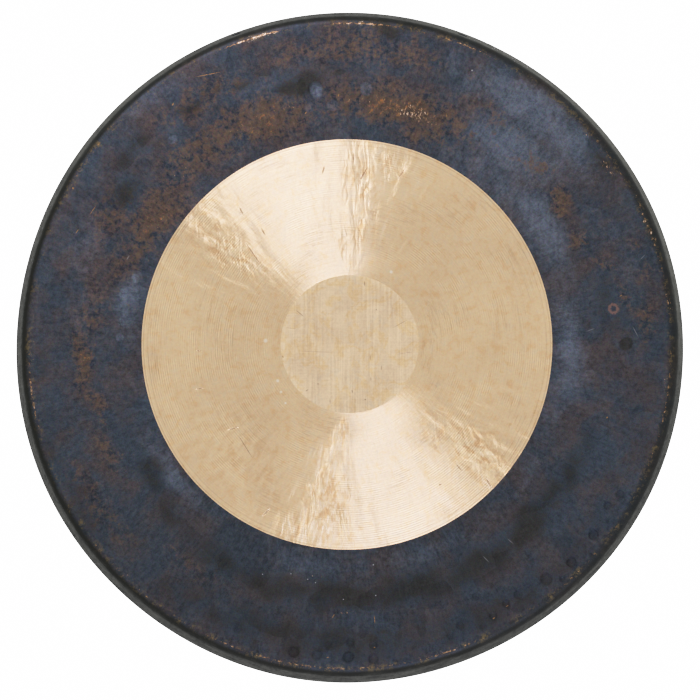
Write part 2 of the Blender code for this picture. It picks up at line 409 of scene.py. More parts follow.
# %% Peen marks
PEEN_MARKS = (
    (-50.5, -276.1, 11, 0.40), (-29.7, -278.8, 10, 0.32), (-1.7, -280.6, 11, 0.42),
    (20.9, -282.4, 10, 0.36), (42.5, -285.1, 10, 0.30), (176.2, -211.0, 12, 0.36),
    (10.9, -259.8, 8, 0.28), (-0.8, -251.7, 7, 0.20), (20.9, -269.7, 8, 0.32),
    (0.1, -267.9, 8, 0.26), (-19.8, -269.7, 7, 0.24), (43.5, -259.8, 7, 0.20),
    (140.1, -232.7, 8, 0.34), (128.4, -243.5, 8, 0.34), (113.0, -226.4, 8, 0.28),
    (98.6, -252.6, 8, 0.28), (89.5, -261.6, 7, 0.26), (151.0, -224.6, 9, 0.28),
    (190.7, -211.0, 6, 0.34), (119.3, -253.5, 7, 0.24), (198.8, -195.7, 10, 0.42),
    (218.7, -171.3, 10, 0.42), (242.6, -135.1, 9, 0.36), (231.5, -145.0, 8, 0.34),
    (-101.0, -255.0, 9, 0.20), (-128.0, -243.0, 8, 0.18), (66.0, -246.0, 8, 0.16),
    (-30.6, 229.8, 16, 0.24), (-16.2, 216.3, 13, 0.14), (-36.9, 214.5, 12, 0.12),
    (-140.0, 205.0, 20, 0.16), (-118.0, 208.0, 18, 0.14), (-168.0, 178.0, 18, 0.14),
    (-186.0, 160.0, 16, 0.14), (-74.0, 214.0, 16, 0.12), (110.0, 246.0, 8, 0.20),
)
PEEN_REACH = 0.75
PEEN_CUTS = 2
MM = 0.001


def values_of(collection, name, size, kind=float):
    """One value, or one row of values, for each element of a mesh."""
    values = np.empty(len(collection) * size, dtype=kind)
    collection.foreach_get(name, values)
    return values.reshape(-1, size) if size > 1 else values


turned = values_of(gong.data.vertices, "co", 3)
along = values_of(gong.data.attributes["along"].data, "value", 1)
on_field = (along > zone_ends[RING]) & (along <= zone_ends[FIELD])
near = np.zeros(len(turned), dtype=bool)
for across, up, width, _ in PEEN_MARKS:
    near |= np.hypot(turned[:, 0] - across * MM, turned[:, 2] - up * MM) < PEEN_REACH * width * MM
for elements in (gong.data.edges, gong.data.polygons):
    elements.foreach_set("select", np.zeros(len(elements), dtype=bool))
gong.data.vertices.foreach_set("select", near & on_field)
bpy.ops.object.mode_set(mode="EDIT")
bpy.ops.mesh.select_mode(type="VERT")
bpy.ops.mesh.subdivide(number_cuts=PEEN_CUTS)
bpy.ops.object.mode_set(mode="OBJECT")
print("with finer spots:", len(gong.data.vertices), "points")

# %% The points as arrays
place = values_of(gong.data.vertices, "co", 3)
along = values_of(gong.data.attributes["along"].data, "value", 1)
zones = np.minimum(np.searchsorted(zone_ends, along), BACK_SPOT)
turned_radius = np.hypot(place[:, 0], place[:, 2])
angle = np.arctan2(place[:, 2], place[:, 0])
print("points in the dark field:", int((zones == FIELD).sum()))

# %% [markdown]
# ## Hand work on the turned form
#
# A perfect turned plate looks like a pan lid. A real gong is beaten true by eye: its rim wanders
# in and out by about a millimetre, and the lathe that scrapes the ring finds a centre of its
# own. The CAD model has both, so the same few waves are used here and the two fit together.

# %% Rim out of round and lathe off centre
OUT_OF_ROUND = (
    (2, 0.00073, math.radians(84)),
    (3, 0.00052, math.radians(-9)),
    (5, 0.00026, math.radians(-21)),
    (6, 0.00025, math.radians(25)),
)
LATHE_SHIFT = np.array((-0.0024, 0.0, 0.0002))
SPOT_FADE = 0.03
FIELD_WAVE_HEIGHT = 0.00035
FIELD_WAVE_LOBES = 7
HALFWAY_PEAK = 0.25


def rim_swell(at_angle):
    """How far the rim stands out of round at one angle, or at many."""
    return sum(height * np.cos(lobes * (at_angle - peak)) for lobes, height, peak in OUT_OF_ROUND)


def smooth_step(value, low, high):
    """0 below low, 1 above high, and an even turn between them."""
    share = np.clip((value - low) / (high - low), 0, 1)
    return share * share * (3 - 2 * share)


in_rim = smooth_step(turned_radius, RING_RADIUS, FACE_RADIUS)
outward = np.column_stack([np.cos(angle), np.zeros(len(angle)), np.sin(angle)])
place += outward * (rim_swell(angle) * in_rim)[:, None]
beyond_spot = smooth_step(turned_radius, SPOT_RADIUS, SPOT_RADIUS + SPOT_FADE)
place += LATHE_SHIFT * (beyond_spot * (1 - in_rim))[:, None]
place[:, 1] += FIELD_WAVE_HEIGHT * in_rim * (1 - in_rim) / HALFWAY_PEAK * np.cos(FIELD_WAVE_LOBES * angle)
print("rim swells by", [round(1000 * float(rim_swell(angle).min()), 2),
                        round(1000 * float(rim_swell(angle).max()), 2)], "mm")

# %% [markdown]
# Hammering shows in three sizes. Long dents run through the dark field, where the smith stretched
# the metal. Under the lathe they show as ripples that run out from the middle, because the
# scraper rides over them. The peen marks are the smallest. All are a fraction of a millimetre
# deep, and light finds them at once.
#
# Sculpting them would work too. A formula on each point is used instead, because it gives the
# same gong every time.


# %% Dents and ripples
SEED_STEPS = (17.3, 5.1, 11.9)


def lumps(vectors, size, seed):
    """Smooth noise from about -1 to 1 at each place, with lumps about size wide."""
    offset = Vector([seed * step for step in SEED_STEPS])
    return np.array([noise.noise(Vector(vector) / size + offset) for vector in vectors])


RIPPLE_ANGLE = math.radians(5)
RIPPLE_LENGTH = 0.026
RIPPLE_DEPTH = 0.00082
RIPPLE_SWAY = 0.9
SWAY_LUMP = 0.03
FIELD_DENT = 0.028
SMALL_DENT = 0.012
FIELD_DENT_DEPTH = 0.00030
SMALL_DENT_DEPTH = 0.00009
FINER_RIPPLE = np.array((2.1, 1.6, 2.1))
FINER_RIPPLE_SHARE = 0.5
RIPPLE_RISE = 0.055
RIPPLE_END = 0.01
DENT_RISE = 0.015

rays = np.column_stack([np.cos(angle) / RIPPLE_ANGLE, turned_radius / RIPPLE_LENGTH,
                        np.sin(angle) / RIPPLE_ANGLE])
rays += RIPPLE_SWAY * lumps(place, SWAY_LUMP, 5)[:, None]
ripple = lumps(rays, 1.0, 1) + FINER_RIPPLE_SHARE * lumps(rays * FINER_RIPPLE, 1.0, 2)
dents = FIELD_DENT_DEPTH * lumps(place, FIELD_DENT, 3) + SMALL_DENT_DEPTH * lumps(place, SMALL_DENT, 4)
in_ring = (smooth_step(turned_radius, SPOT_RADIUS - STEP_WIDTH, SPOT_RADIUS + RIPPLE_RISE)
           * (1 - smooth_step(turned_radius, RING_RADIUS, RING_RADIUS + RIPPLE_END)))
in_field = smooth_step(turned_radius, RING_RADIUS, RING_RADIUS + DENT_RISE)
on_plate = np.isin(zones, (SPOT, RING, FIELD, BACK_FIELD, BACK_RING, BACK_SPOT))
push = ripple * RIPPLE_DEPTH * in_ring * turned_radius / RING_RADIUS + dents * in_field
place[:, 1] += np.where(on_plate, push, 0.0)
print("hammering moves the face by up to", round(1000 * float(np.abs(push).max()), 2), "mm")

# %% Set the plate on the frame's middle
middle = np.array((cad_low + cad_high) / 2)
turned_middle = (place.min(axis=0) + place.max(axis=0)) / 2
place += middle - turned_middle
gong_centre = Vector(middle - turned_middle)
lathe_centre = gong_centre + Vector(LATHE_SHIFT)
print("the lathe turned about", [round(1000 * value, 2) for value in lathe_centre], "mm")

# %% Sink the peen marks in
PEEN_ROUNDNESS = 1.3
LIP_HEIGHT = 0.16
LIP_AT = 1.1
LIP_WIDTH = 0.2
# Strength of the peen marks' painted shade: in the whole mark, on its upper left, on its wall, and where
# it fades out.
PIT_SHADE = 0.45
UPPER_LEFT_SHADE = 0.55
WALL_SHADE = 0.4
WALL_AT = 0.85
WALL_WIDTH = 0.2
SHADE_END = 1.1
SHADE_FADE = 0.25
DEEPEST_PEEN = 0.42
DEEPER = 1.4


def peen_shape(across, up, width):
    """1 at the bottom of a round mark, 0 beyond it, and a little below 0 on its raised lip."""
    out = np.hypot(place[:, 0] - across * MM, place[:, 2] - up * MM) / (width / 2 * MM)
    bowl = np.clip(1 - out ** 2, 0, 1) ** PEEN_ROUNDNESS
    return bowl - LIP_HEIGHT * np.exp(-((out - LIP_AT) / LIP_WIDTH) ** 2)


def pit_painted_shade(across, up, width):
    """Painted shade in a mark: most on its wall, and on its upper left side, which faces away from the
    high lamp.
    """
    right = (place[:, 0] - across * MM) / (width / 2 * MM)
    high = (place[:, 2] - up * MM) / (width / 2 * MM)
    out = np.hypot(right, high)
    inside = np.clip((SHADE_END - out) / SHADE_FADE, 0, 1)
    wall = np.exp(-((out - WALL_AT) / WALL_WIDTH) ** 2)
    upper_left = np.clip(0.8 * (high - right), 0, 1)
    return inside * np.clip(PIT_SHADE + UPPER_LEFT_SHADE * upper_left + WALL_SHADE * wall, 0, 1)


on_front_field = zones == FIELD
# Each mark sinks the field, and its painted shade is kept as a value on the points.
pit_shade = np.zeros(len(place))
for across, up, width, depth in PEEN_MARKS:
    pit_shade = np.maximum(pit_shade, pit_painted_shade(across, up, width) * depth / DEEPEST_PEEN * on_front_field)
    place[:, 1] += np.where(on_front_field, peen_shape(across, up, width) * depth * DEEPER * MM, 0.0)
gong.data.vertices.foreach_set("co", place.ravel())
gong.data.attributes.new("pit_shade", "FLOAT", "POINT").data.foreach_set("value", pit_shade)
gong.data.update()
print("sunk", len(PEEN_MARKS), "peen marks")

# %% [markdown]
# ## Coordinates that follow the metal
#
# Lathe lines run round the gong and ripples run out from its middle, so their patterns need
# coordinates that do the same. The first UV map, grain, gives every corner its distance along
# the section and its angle. The metal's shine is stretched across the grooves, and this map
# gives the shader that direction too. On the spot, which was brushed up and down, the map is flat.

# %% Corner arrays
mesh = gong.data
corner_point = values_of(mesh.loops, "vertex_index", 1, int)
face_start = values_of(mesh.polygons, "loop_start", 1, int)
face_size = values_of(mesh.polygons, "loop_total", 1, int)
corner_face = np.repeat(np.arange(len(mesh.polygons)), face_size)


def face_mean(corner_values):
    """Mean over each face of a value that its corners have."""
    return np.add.reduceat(corner_values, face_start) / face_size


corner_along = along[corner_point]
face_zone = np.searchsorted(zone_ends, face_mean(corner_along))
print("faces in each zone:", np.bincount(face_zone).tolist())

# %% Grain map
off_pole = turned_radius[corner_point] > WELD
face_angle = np.arctan2(face_mean(np.sin(angle[corner_point]) * off_pole),
                        face_mean(np.cos(angle[corner_point]) * off_pole))
corner_angle = np.where(off_pole, angle[corner_point], face_angle[corner_face])
corner_angle -= math.tau * np.round((corner_angle - face_angle[corner_face]) / math.tau)
corner_place = place[corner_point]
on_spot = np.isin(face_zone, (SPOT, BACK_SPOT))[corner_face]
grain_uv = np.column_stack([np.where(on_spot, corner_place[:, 0], corner_along),
                            np.where(on_spot, corner_place[:, 2], corner_angle / math.tau)])
mesh.uv_layers.new(name="grain").data.foreach_set("uv", grain_uv.ravel())
print("grain map written for", len(grain_uv), "corners")

# %% [markdown]
# The second map is for baking the finishes into one picture. It unrolls the skin into two discs
# that don't overlap: a large one for the front with the outside of the rim, and a small one for
# the back, which few people look at.

# %% Baking map
FRONT_DISC = (0.36, 0.36, 0.35)
BACK_DISC = (0.79, 0.79, 0.20)

rim_reach = zone_ends[RIM]
back_reach = length_along[-1] - rim_reach
on_front = (face_mean(corner_along) < rim_reach)[corner_face]
share_out = np.where(on_front, corner_along / rim_reach, (length_along[-1] - corner_along) / back_reach)
disc = np.where(on_front[:, None], np.array(FRONT_DISC), np.array(BACK_DISC))
turned_out = share_out * disc[:, 2]
bake_uv = np.column_stack([disc[:, 0] + turned_out * np.cos(corner_angle),
                           disc[:, 1] + turned_out * np.sin(corner_angle)])
mesh.uv_layers.new(name="OFBake").data.foreach_set("uv", bake_uv.ravel())
print("baking map spans", bake_uv.min(axis=0).round(3), "to", bake_uv.max(axis=0).round(3))

# %% [markdown]
# ## Stains, soot and wear
#
# No two gongs leave the fire alike, and the stains are what one knows this gong by. They can't
# be left to chance, nor drawn stroke by stroke. So they are painted in two steps, as scene
# painters do. Soft patches are laid down at their real places, as values on the mesh's points.
# Then the shader breaks their edges up with fine noise, which makes them look grown.
#
# A patch is written as the angle round the gong in degrees, the distance from its middle as a
# share of the radius, its reach each way, and its strength.

# %% Rust and soot
RUST = (
    (79, 0.72, 19, 0.06, 0.95), (110, 0.71, 13, 0.08, 0.85), (128, 0.72, 12, 0.07, 0.7),
    (146, 0.68, 13, 0.07, 0.8), (160, 0.70, 8, 0.05, 0.5), (184, 0.79, 7, 0.03, 0.85),
    (194, 0.76, 5, 0.03, 0.65), (205, 0.78, 5, 0.04, 0.5), (88, 0.88, 18, 0.06, 0.6),
    (70, 0.66, 9, 0.05, 0.6), (57, 0.80, 9, 0.05, 0.45), (45, 0.76, 5, 0.04, 0.6),
    (33, 0.76, 3, 0.03, 0.7), (24, 0.75, 3, 0.03, 0.7), (17, 0.79, 3, 0.03, 0.5),
    (11, 0.84, 4, 0.03, 0.5), (4, 0.88, 4, 0.03, 0.5), (120, 0.85, 12, 0.06, 0.5),
    (172, 0.76, 8, 0.05, 0.45), (152, 0.80, 9, 0.05, 0.5), (213, 0.88, 12, 0.04, 0.4),
    (235, 0.80, 10, 0.04, 0.3), (16, 0.90, 5, 0.03, 0.45),
)
SOOT = (
    (225, 0.72, 10, 0.05, 0.6), (212, 0.70, 6, 0.05, 0.65), (240, 0.745, 10, 0.05, 0.65),
    (255, 0.745, 12, 0.06, 0.7), (270, 0.74, 12, 0.05, 0.8), (285, 0.745, 12, 0.055, 0.85),
    (300, 0.75, 12, 0.06, 0.85), (315, 0.75, 11, 0.055, 0.85), (330, 0.76, 11, 0.05, 0.7),
    (137, 0.86, 5, 0.04, 0.7), (146, 0.80, 5, 0.04, 0.75), (124, 0.85, 5, 0.03, 0.6),
    (101, 0.78, 6, 0.04, 0.8), (113, 0.83, 6, 0.03, 0.6), (83, 0.95, 7, 0.03, 0.8),
    (62, 0.68, 6, 0.03, 0.4), (36, 0.92, 9, 0.03, 0.6), (20, 0.68, 8, 0.05, 0.3),
    (8, 0.78, 9, 0.06, 0.5), (182, 0.92, 9, 0.05, 0.35), (205, 0.93, 16, 0.05, 0.5),
    (265, 0.88, 45, 0.07, 0.6), (300, 0.90, 30, 0.07, 0.5), (150, 0.66, 6, 0.03, 0.4),
    (345, 0.90, 20, 0.07, 0.4), (320, 0.86, 20, 0.06, 0.35), (196, 0.68, 10, 0.04, 0.3),
)
print("patches of rust and soot:", len(RUST), "and", len(SOOT))

# %% Pale films and bright flecks
PALE = (
    (169, 0.67, 8, 0.04, 0.5), (160, 0.82, 9, 0.07, 0.5), (172, 0.80, 10, 0.06, 0.35),
    (50, 0.76, 15, 0.11, 0.8), (52, 0.88, 20, 0.08, 0.8), (30, 0.69, 14, 0.06, 0.75),
    (0, 0.67, 14, 0.05, 0.6), (40, 0.86, 8, 0.05, 0.5), (218, 0.65, 12, 0.03, 0.55),
    (130, 0.93, 12, 0.03, 0.4), (112, 0.80, 6, 0.04, 0.4), (352, 0.68, 9, 0.05, 0.4),
    (262, 0.67, 16, 0.035, 0.35), (292, 0.67, 14, 0.035, 0.25), (320, 0.67, 12, 0.035, 0.25),
    (20, 0.86, 8, 0.05, 0.35),
)
FLECKS = (
    (74, 0.71, 9, 0.028, 0.95), (88, 0.725, 8, 0.02, 0.6), (104, 0.725, 7, 0.028, 0.7),
    (116, 0.71, 8, 0.04, 0.55), (134, 0.71, 8, 0.05, 0.5),
    (146, 0.66, 8, 0.04, 0.5), (34, 0.925, 3, 0.015, 0.9), (22, 0.95, 6, 0.012, 0.9),
    (42, 0.94, 3, 0.012, 0.8), (8, 0.95, 6, 0.01, 0.8), (182, 0.94, 8, 0.012, 0.55),
    (270, 0.785, 9, 0.02, 0.6), (256, 0.955, 8, 0.012, 0.6), (280, 0.95, 8, 0.01, 0.7),
    (228, 0.94, 4, 0.012, 0.7), (262, 0.69, 14, 0.02, 0.45), (186, 0.79, 5, 0.03, 0.5),
    (352, 0.94, 6, 0.015, 0.6), (33, 0.76, 4, 0.03, 0.5), (205, 0.72, 6, 0.03, 0.45),
)
print("patches of pale film and flecks:", len(PALE), "and", len(FLECKS))

# %% [markdown]
# The crease at the face's edge is rubbed whenever the gong is handled, so its wear all lies at
# one distance from the middle. The hollow patches lie on the ring, where the hammer's facets
# break up the bow tie. They also carry a painted shade in the troughs of the ring's ripples and a
# painted highlight on their crests.

# %% Wear and hollows
WEAR_AT = 0.96
WEAR_REACH = 0.1
WEAR = [(at_angle, WEAR_AT, reach_round, WEAR_REACH, strength) for at_angle, reach_round, strength in (
    (107, 8, 0.85), (88, 8, 0.75), (70, 8, 0.6), (146, 8, 0.5), (128, 8, 0.2), (15, 22, 0.5),
    (350, 16, 0.5), (188, 10, 0.65), (262, 30, 0.55), (287, 9, 0.62), (315, 20, 0.4),
    (228, 14, 0.4), (36, 10, 0.45),
)]
HOLLOW = (
    (85, 0.42, 6, 0.16, 1.0), (91, 0.28, 5, 0.06, 0.8), (79, 0.55, 7, 0.05, 0.6),
    (141, 0.45, 6, 0.14, 0.9), (264, 0.47, 8, 0.13, 1.0), (257, 0.56, 8, 0.05, 0.7),
    (320, 0.50, 7, 0.13, 0.9), (312, 0.38, 6, 0.08, 0.5), (226, 0.45, 20, 0.12, 0.35),
    (266, 0.28, 6, 0.06, 0.8),
)
print("patches of wear and hollows:", len(WEAR), "and", len(HOLLOW))

# %% Lay the patches down
PATCH_WANDER = 0.028
PATCH_LUMP = 0.022

front_skin = zones <= RIM
wander = lumps(place, PATCH_LUMP, 6)
sideways = lumps(place, PATCH_LUMP, 7)


def patches(marks, loose):
    """Strength of a kind of stain at each point: soft patches with edges that wander."""
    share = turned_radius / OUTER_RADIUS + loose * PATCH_WANDER * wander
    turned_to = np.degrees(angle + loose * 3 * PATCH_WANDER * sideways)
    amount = np.zeros(len(share))
    for at_angle, at_share, reach_round, reach_out, strength in marks:
        round_it = (turned_to - at_angle + 180) % 360 - 180
        off = (round_it / reach_round) ** 2 + ((share - at_share) / reach_out) ** 2
        amount = np.maximum(amount, strength * np.exp(-off))
    return amount * front_skin


KINDS = (("rust", RUST, 1), ("soot", SOOT, 1), ("pale", PALE, 1), ("flecks", FLECKS, 0.3),
         ("wear", WEAR, 0), ("hollow", HOLLOW, 0.5))
for name, marks, loose in KINDS:
    values = patches(marks, loose)
    mesh.attributes.new(name, "FLOAT", "POINT").data.foreach_set("value", values)
    print(name, "covers", round(100 * float((values > 0.4).mean())), "percent of the points")

# %% [markdown]
# ## The finishes
#
# Every finish below is a node tree, written with a few short helpers. Each helper adds a node, or
# a short chain of them, and gives back its output, so that a tree reads from its pattern to its
# shader.


# %% Helpers for node trees
OBJECT_PLACE = 3


class Finish:
    """A procedural material, built up from small named steps."""

    def __init__(self, name):
        self.material = bpy.data.materials.new(name)
        self.material.use_nodes = True
        self.tree = self.material.node_tree
        self.shader = self.tree.nodes["Principled BSDF"]
        self.seen = self.node("ShaderNodeTexCoord", output=OBJECT_PLACE)

    def node(self, kind, inputs=(), output=0, **settings):
        """Add a node, set it up, feed its inputs, and give one of its outputs."""
        new = self.tree.nodes.new(kind)
        for key, value in settings.items():
            setattr(new, key, value)
        for key, value in dict(inputs).items():
            if isinstance(value, bpy.types.NodeSocket):
                self.tree.links.new(value, new.inputs[key])
            else:
                new.inputs[key].default_value = value
        return new.outputs[output]

    def math(self, operation, first, second=0.0):
        """One sum, product or other operation on two values."""
        return self.node("ShaderNodeMath", {0: first, 1: second}, operation=operation)

    def vectors(self, operation, first, second=(0.0, 0.0, 0.0), output=0):
        """One operation on two vectors."""
        return self.node("ShaderNodeVectorMath", {0: first, 1: second}, output, operation=operation)

    def total(self, *values):
        """The sum of several values, each given alone or with its weight."""
        weighted = [self.math("MULTIPLY", *value) if isinstance(value, tuple) else value
                    for value in values]
        result = weighted[0]
        for value in weighted[1:]:
            result = self.math("ADD", result, value)
        return result

    def product(self, *values):
        """The product of several values."""
        result = values[0]
        for value in values[1:]:
            result = self.math("MULTIPLY", result, value)
        return result

    def off(self, value, middle):
        """How far a value lies from a middle, to either side."""
        return self.math("ABSOLUTE", self.math("SUBTRACT", value, middle))

    def band(self, value, low, high, least=0.0, most=1.0):
        """Map a value from low..high onto least..most, with soft ends."""
        return self.node("ShaderNodeMapRange", {"Value": value, "From Min": low, "From Max": high,
                                                "To Min": least, "To Max": most},
                         interpolation_type="SMOOTHSTEP")

    def vary(self, noise, reach):
        """A noise turned into a change of brightness, by up to reach either way."""
        return self.band(noise, 0.3, 0.7, -reach, reach)

    def noise(self, vector, scale, detail=2.0, roughness=0.5, distortion=0.0, output=0):
        """Smooth noise around 0.5."""
        return self.node("ShaderNodeTexNoise", {"Vector": vector, "Scale": scale, "Detail": detail,
                                                "Roughness": roughness, "Distortion": distortion},
                         output)

    def blend(self, share, first, second):
        """Mix two colours; share 1 gives the second. The node's sockets are picked by place."""
        sides = [(*side, 1.0) if isinstance(side, tuple) else side for side in (first, second)]
        return self.node("ShaderNodeMix", {0: share, 6: sides[0], 7: sides[1]}, 2, data_type="RGBA")

    def shade(self, colour, factor):
        """A colour made lighter or darker."""
        return self.node("ShaderNodeVectorMath", {0: colour, "Scale": factor}, operation="SCALE")

    def speckle(self, colour, vector, scale, strength):
        """A colour with fine specks that lean to red, green and blue."""
        specks = self.noise(vector, scale, 2.0, 0.6, output=1)
        lean = self.node("ShaderNodeVectorMath", {0: specks, 1: (strength,) * 3,
                                                  2: (1 - strength / 2,) * 3},
                         operation="MULTIPLY_ADD")
        return self.vectors("MULTIPLY", colour, lean)

    def attribute(self, name):
        """A value painted on the mesh."""
        return self.node("ShaderNodeAttribute", output=2, attribute_name=name)

    def feed(self, **links):
        """Link or set the shader's inputs; underscores stand for spaces."""
        for key, value in links.items():
            socket = self.shader.inputs[key.replace("_", " ")]
            if isinstance(value, bpy.types.NodeSocket):
                self.tree.links.new(value, socket)
            else:
                socket.default_value = value

    def relief(self, height_mm):
        """Bump from a height in millimetres."""
        return self.node("ShaderNodeBump", {"Height": height_mm, "Distance": MM})


def linear(*tones):
    """Scene colour of a tone that is given as 0 to 255 on screen."""
    return tuple(((tone / 255 + 0.055) / 1.055) ** 2.4 for tone in tones)


print("tan bronze as scene light:", [round(value, 3) for value in linear(204, 177, 142)])


# %% Places and directions for the shaders
def flat_place(finish, centre):
    """Place on the face in metres from a centre, without its depth."""
    return finish.node("ShaderNodeMapping", {"Vector": finish.seen, "Scale": (1, 0, 1),
                                             "Location": (-centre.x, 0, -centre.z)})


def polar(finish, centre):
    """Distance from a centre, and the direction out from it."""
    flat = flat_place(finish, centre)
    return finish.vectors("LENGTH", flat, output=1), finish.vectors("NORMALIZE", flat)


def towards(finish, outwards, right, up):
    """How well the way out from the middle agrees with one way on the face: 1 fully, -1 opposite."""
    return finish.vectors("DOT_PRODUCT", outwards, (right, 0.0, up), 1)


def across_grooves(finish):
    """Direction across the grooves, from the grain map."""
    return finish.node("ShaderNodeTangent", direction_type="UV_MAP", uv_map="grain")


# %% Noise that follows the brush and the lathe
def stretched_noise(finish, flat, across, up, detail, roughness=0.5):
    """Noise with this many lumps a metre across and up."""
    scaled = finish.node("ShaderNodeMapping", {"Vector": flat, "Scale": (across, 1, up)})
    return finish.noise(scaled, 1.0, detail, roughness)


def rays_of(finish, radius, outwards, width_deg, length):
    """Coordinates whose noise is width_deg wide round the gong and length long out from it."""
    spread = finish.shade(outwards, 1 / math.radians(width_deg))
    out = finish.node("ShaderNodeCombineXYZ", {"Y": finish.math("DIVIDE", radius, length)})
    return finish.vectors("ADD", spread, out)


def ray_noise(finish, radius, outwards, width_deg, length, detail, roughness=0.5):
    """Noise whose lumps are width_deg wide round the gong and length long out from it."""
    return finish.noise(rays_of(finish, radius, outwards, width_deg, length), 1.0, detail, roughness)


# %% Single marks
ANY_DEPTH = 1000


def mark_distance(finish, across, up, length, width, slant):
    """Distance from a mark's middle, which is 1 at the mark's edge, whatever the depth."""
    local = finish.node("ShaderNodeMapping", {
        "Vector": finish.seen, "Location": (across * MM, 0, up * MM),
        "Rotation": (0, -math.radians(slant), 0),
        "Scale": (length / 2 * MM, ANY_DEPTH, width / 2 * MM)}, vector_type="TEXTURE")
    return finish.vectors("LENGTH", local, output=1)


def stroke(finish, across, up, length, width, slant, soft=0.35):
    """1 on a short straight mark, 0 off it. Places and sizes in millimetres, slant in degrees."""
    return finish.band(mark_distance(finish, across, up, length, width, slant), 1.0, soft)


def dot(finish, across, up, width):
    """1 on a small round mark, 0 off it."""
    return stroke(finish, across, up, width, width, 0)


def any_of(finish, marks):
    """The strongest of several marks."""
    result = marks[0]
    for mark in marks[1:]:
        result = finish.math("MAXIMUM", result, mark)
    return result


# %% [markdown]
# ### The lathed ring
#
# The ring is bare metal. Its colour is the bronze's own, with a faint mottle where the alloy
# scorched. The look is in the relief: lathe lines 2 mm apart that come and go, finer hair between
# them, long ripples out from the middle, and a few chatter strokes where the scraper jumped.
# Anisotropic shine stretches every reflection across the lines, so the lamp becomes a bow tie.
# Long flat facets from the hammer break up the sides of its arms, and there the troughs of the
# ripples get a painted shade of dark brown and their crests a painted highlight. Near the spot,
# the up and down brushing of the middle runs over onto the facets.
#
# A stroke is written as its place across and up, its length and its width, all in millimetres,
# and its slant in degrees. A glint, which is a painted highlight, or a dot is its place and its width.

# %% Colours and marks of the ring
LINE_PITCH = 1.95
BARE_BRONZE = (0.82, 0.585, 0.362)
SCORCHED_BRONZE = (0.82, 0.52, 0.27)
GREY_BRONZE = (0.76, 0.575, 0.385)
# Dark brown of the painted shade in the troughs of the ring's ripples.
PAINTED_SHADE_BRONZE = (0.58, 0.35, 0.17)
# Cream of the painted highlights on the ring.
PAINTED_GLINT_CREAM = linear(250, 238, 222)
FACETS_EACH_WAY = (75, 26)
SIDE_FACET_LEAN = 51
BORDER_LINE = 0.0052
LAST_LINE = 0.0016
RING_STROKES = (
    (3, 168, 13, 1.6, 90), (12, 153, 19, 1.5, 59), (46, 153, 13, 1.5, 56), (-98, 120, 9, 1.8, 117),
    (-78, 101, 9, 1.8, 120), (-87, 81, 30, 1.3, 124), (-24, 157, 9, 1.6, 76),
    (98, -111, 12, 1.5, 130), (124, -124, 13, 1.6, 120), (-75, -151, 13, 1.6, 45),
    (-105, -76, 14, 1.0, 12), (-135, -40, 9, 0.9, 8), (-94, -92, 32, 0.8, 122),
    (-136, -6, 6, 1.0, 175), (81, -126, 3, 2.5, 0),
)
# Painted highlights on the ring.
RING_PAINTED_GLINTS = ((-76, 3, 5), (-65, -33, 4), (-62, -43, 3), (-58, -53, 3), (37, 65, 4))
print("strokes and glints on the ring:", len(RING_STROKES), "and", len(RING_PAINTED_GLINTS))
print("lathe lines stand", LINE_PITCH, "mm apart")


# %% Lathe lines
def towards_lamps(finish, outwards):
    """1 where the way out from the middle points at the low lamp, and -1 at the high one."""
    return towards(finish, outwards, 0.42, -0.91)


def lathe_lines(finish, flat, radius, outwards):
    """Waves of the lathe's lines, from -1 to 1, which come and go round the ring."""
    turns = finish.math("DIVIDE", radius, LINE_PITCH * MM)
    lines = finish.math("SINE", finish.math("MULTIPLY", turns, math.tau))
    outer = finish.product(finish.band(towards_lamps(finish, outwards), 0.8, 0.97),
                           finish.band(radius, 0.11, 0.15))
    left = finish.band(towards(finish, outwards, -1.0, 0.0), 0.6, 0.95, 0.0, 0.09)
    clear = finish.total(finish.noise(flat, 34.0, 2.0, 0.6), (outer, 0.15), left)
    broken = ray_noise(finish, radius, outwards, 4, 3.0 * MM, 2.0, 0.6)
    shown = finish.product(finish.band(clear, 0.48, 0.66), finish.band(broken, 0.34, 0.62, 0.15, 1.35))
    return finish.product(lines, shown, finish.band(radius, 0.066, 0.095, 0.3, 1.0))


# %% Hammer facets
def facet_height(finish, flat, slant_deg):
    """Height of long flat facets with crisp creases, which lean by slant_deg from upright."""
    across, up = FACETS_EACH_WAY
    leaning = finish.node("ShaderNodeMapping", {"Vector": flat, "Scale": (across, 1, up),
                                                "Rotation": (0, math.radians(slant_deg), 0)})
    swell = finish.noise(leaning, 1.0, 2.0, 0.55, 0.4)
    return finish.math("PINGPONG", finish.math("MULTIPLY", swell, 5.0), 0.5)


def beaten_height(finish, flat, radius, outwards):
    """Height of the hammer's facets and, near the spot, of the brushing that runs over them."""
    sideways = finish.math("ABSOLUTE", towards(finish, outwards, 1.0, 0.0))
    leaning = finish.band(sideways, 0.32, 0.52)
    upright = finish.band(leaning, 0.0, 1.0, 1.4, 0.0)
    facets = finish.total((facet_height(finish, flat, 0), upright),
                          (facet_height(finish, flat, SIDE_FACET_LEAN), leaning))
    brushing = stretched_noise(finish, flat, 330, 9, 2.0)
    brushing = finish.product(finish.math("SUBTRACT", brushing, 0.5), finish.band(radius, 0.105, 0.075))
    return finish.total((facets, 0.60), (brushing, 0.75))


# %% Border of the ring
def edge_lines(finish, inside):
    """Brightness of the ring's border, which is lighter, with two dark lines and a bright edge."""
    return finish.total(finish.band(finish.off(inside, BORDER_LINE), 0.0009, 0.0002, 0.0, -0.09),
                        finish.band(inside, BORDER_LINE, 0.0044, 0.0, 0.035),
                        finish.band(finish.off(inside, LAST_LINE), 0.0009, 0.0002, 0.0, -0.16),
                        finish.band(inside, 0.0008, 0.0004, 0.0, 0.10))


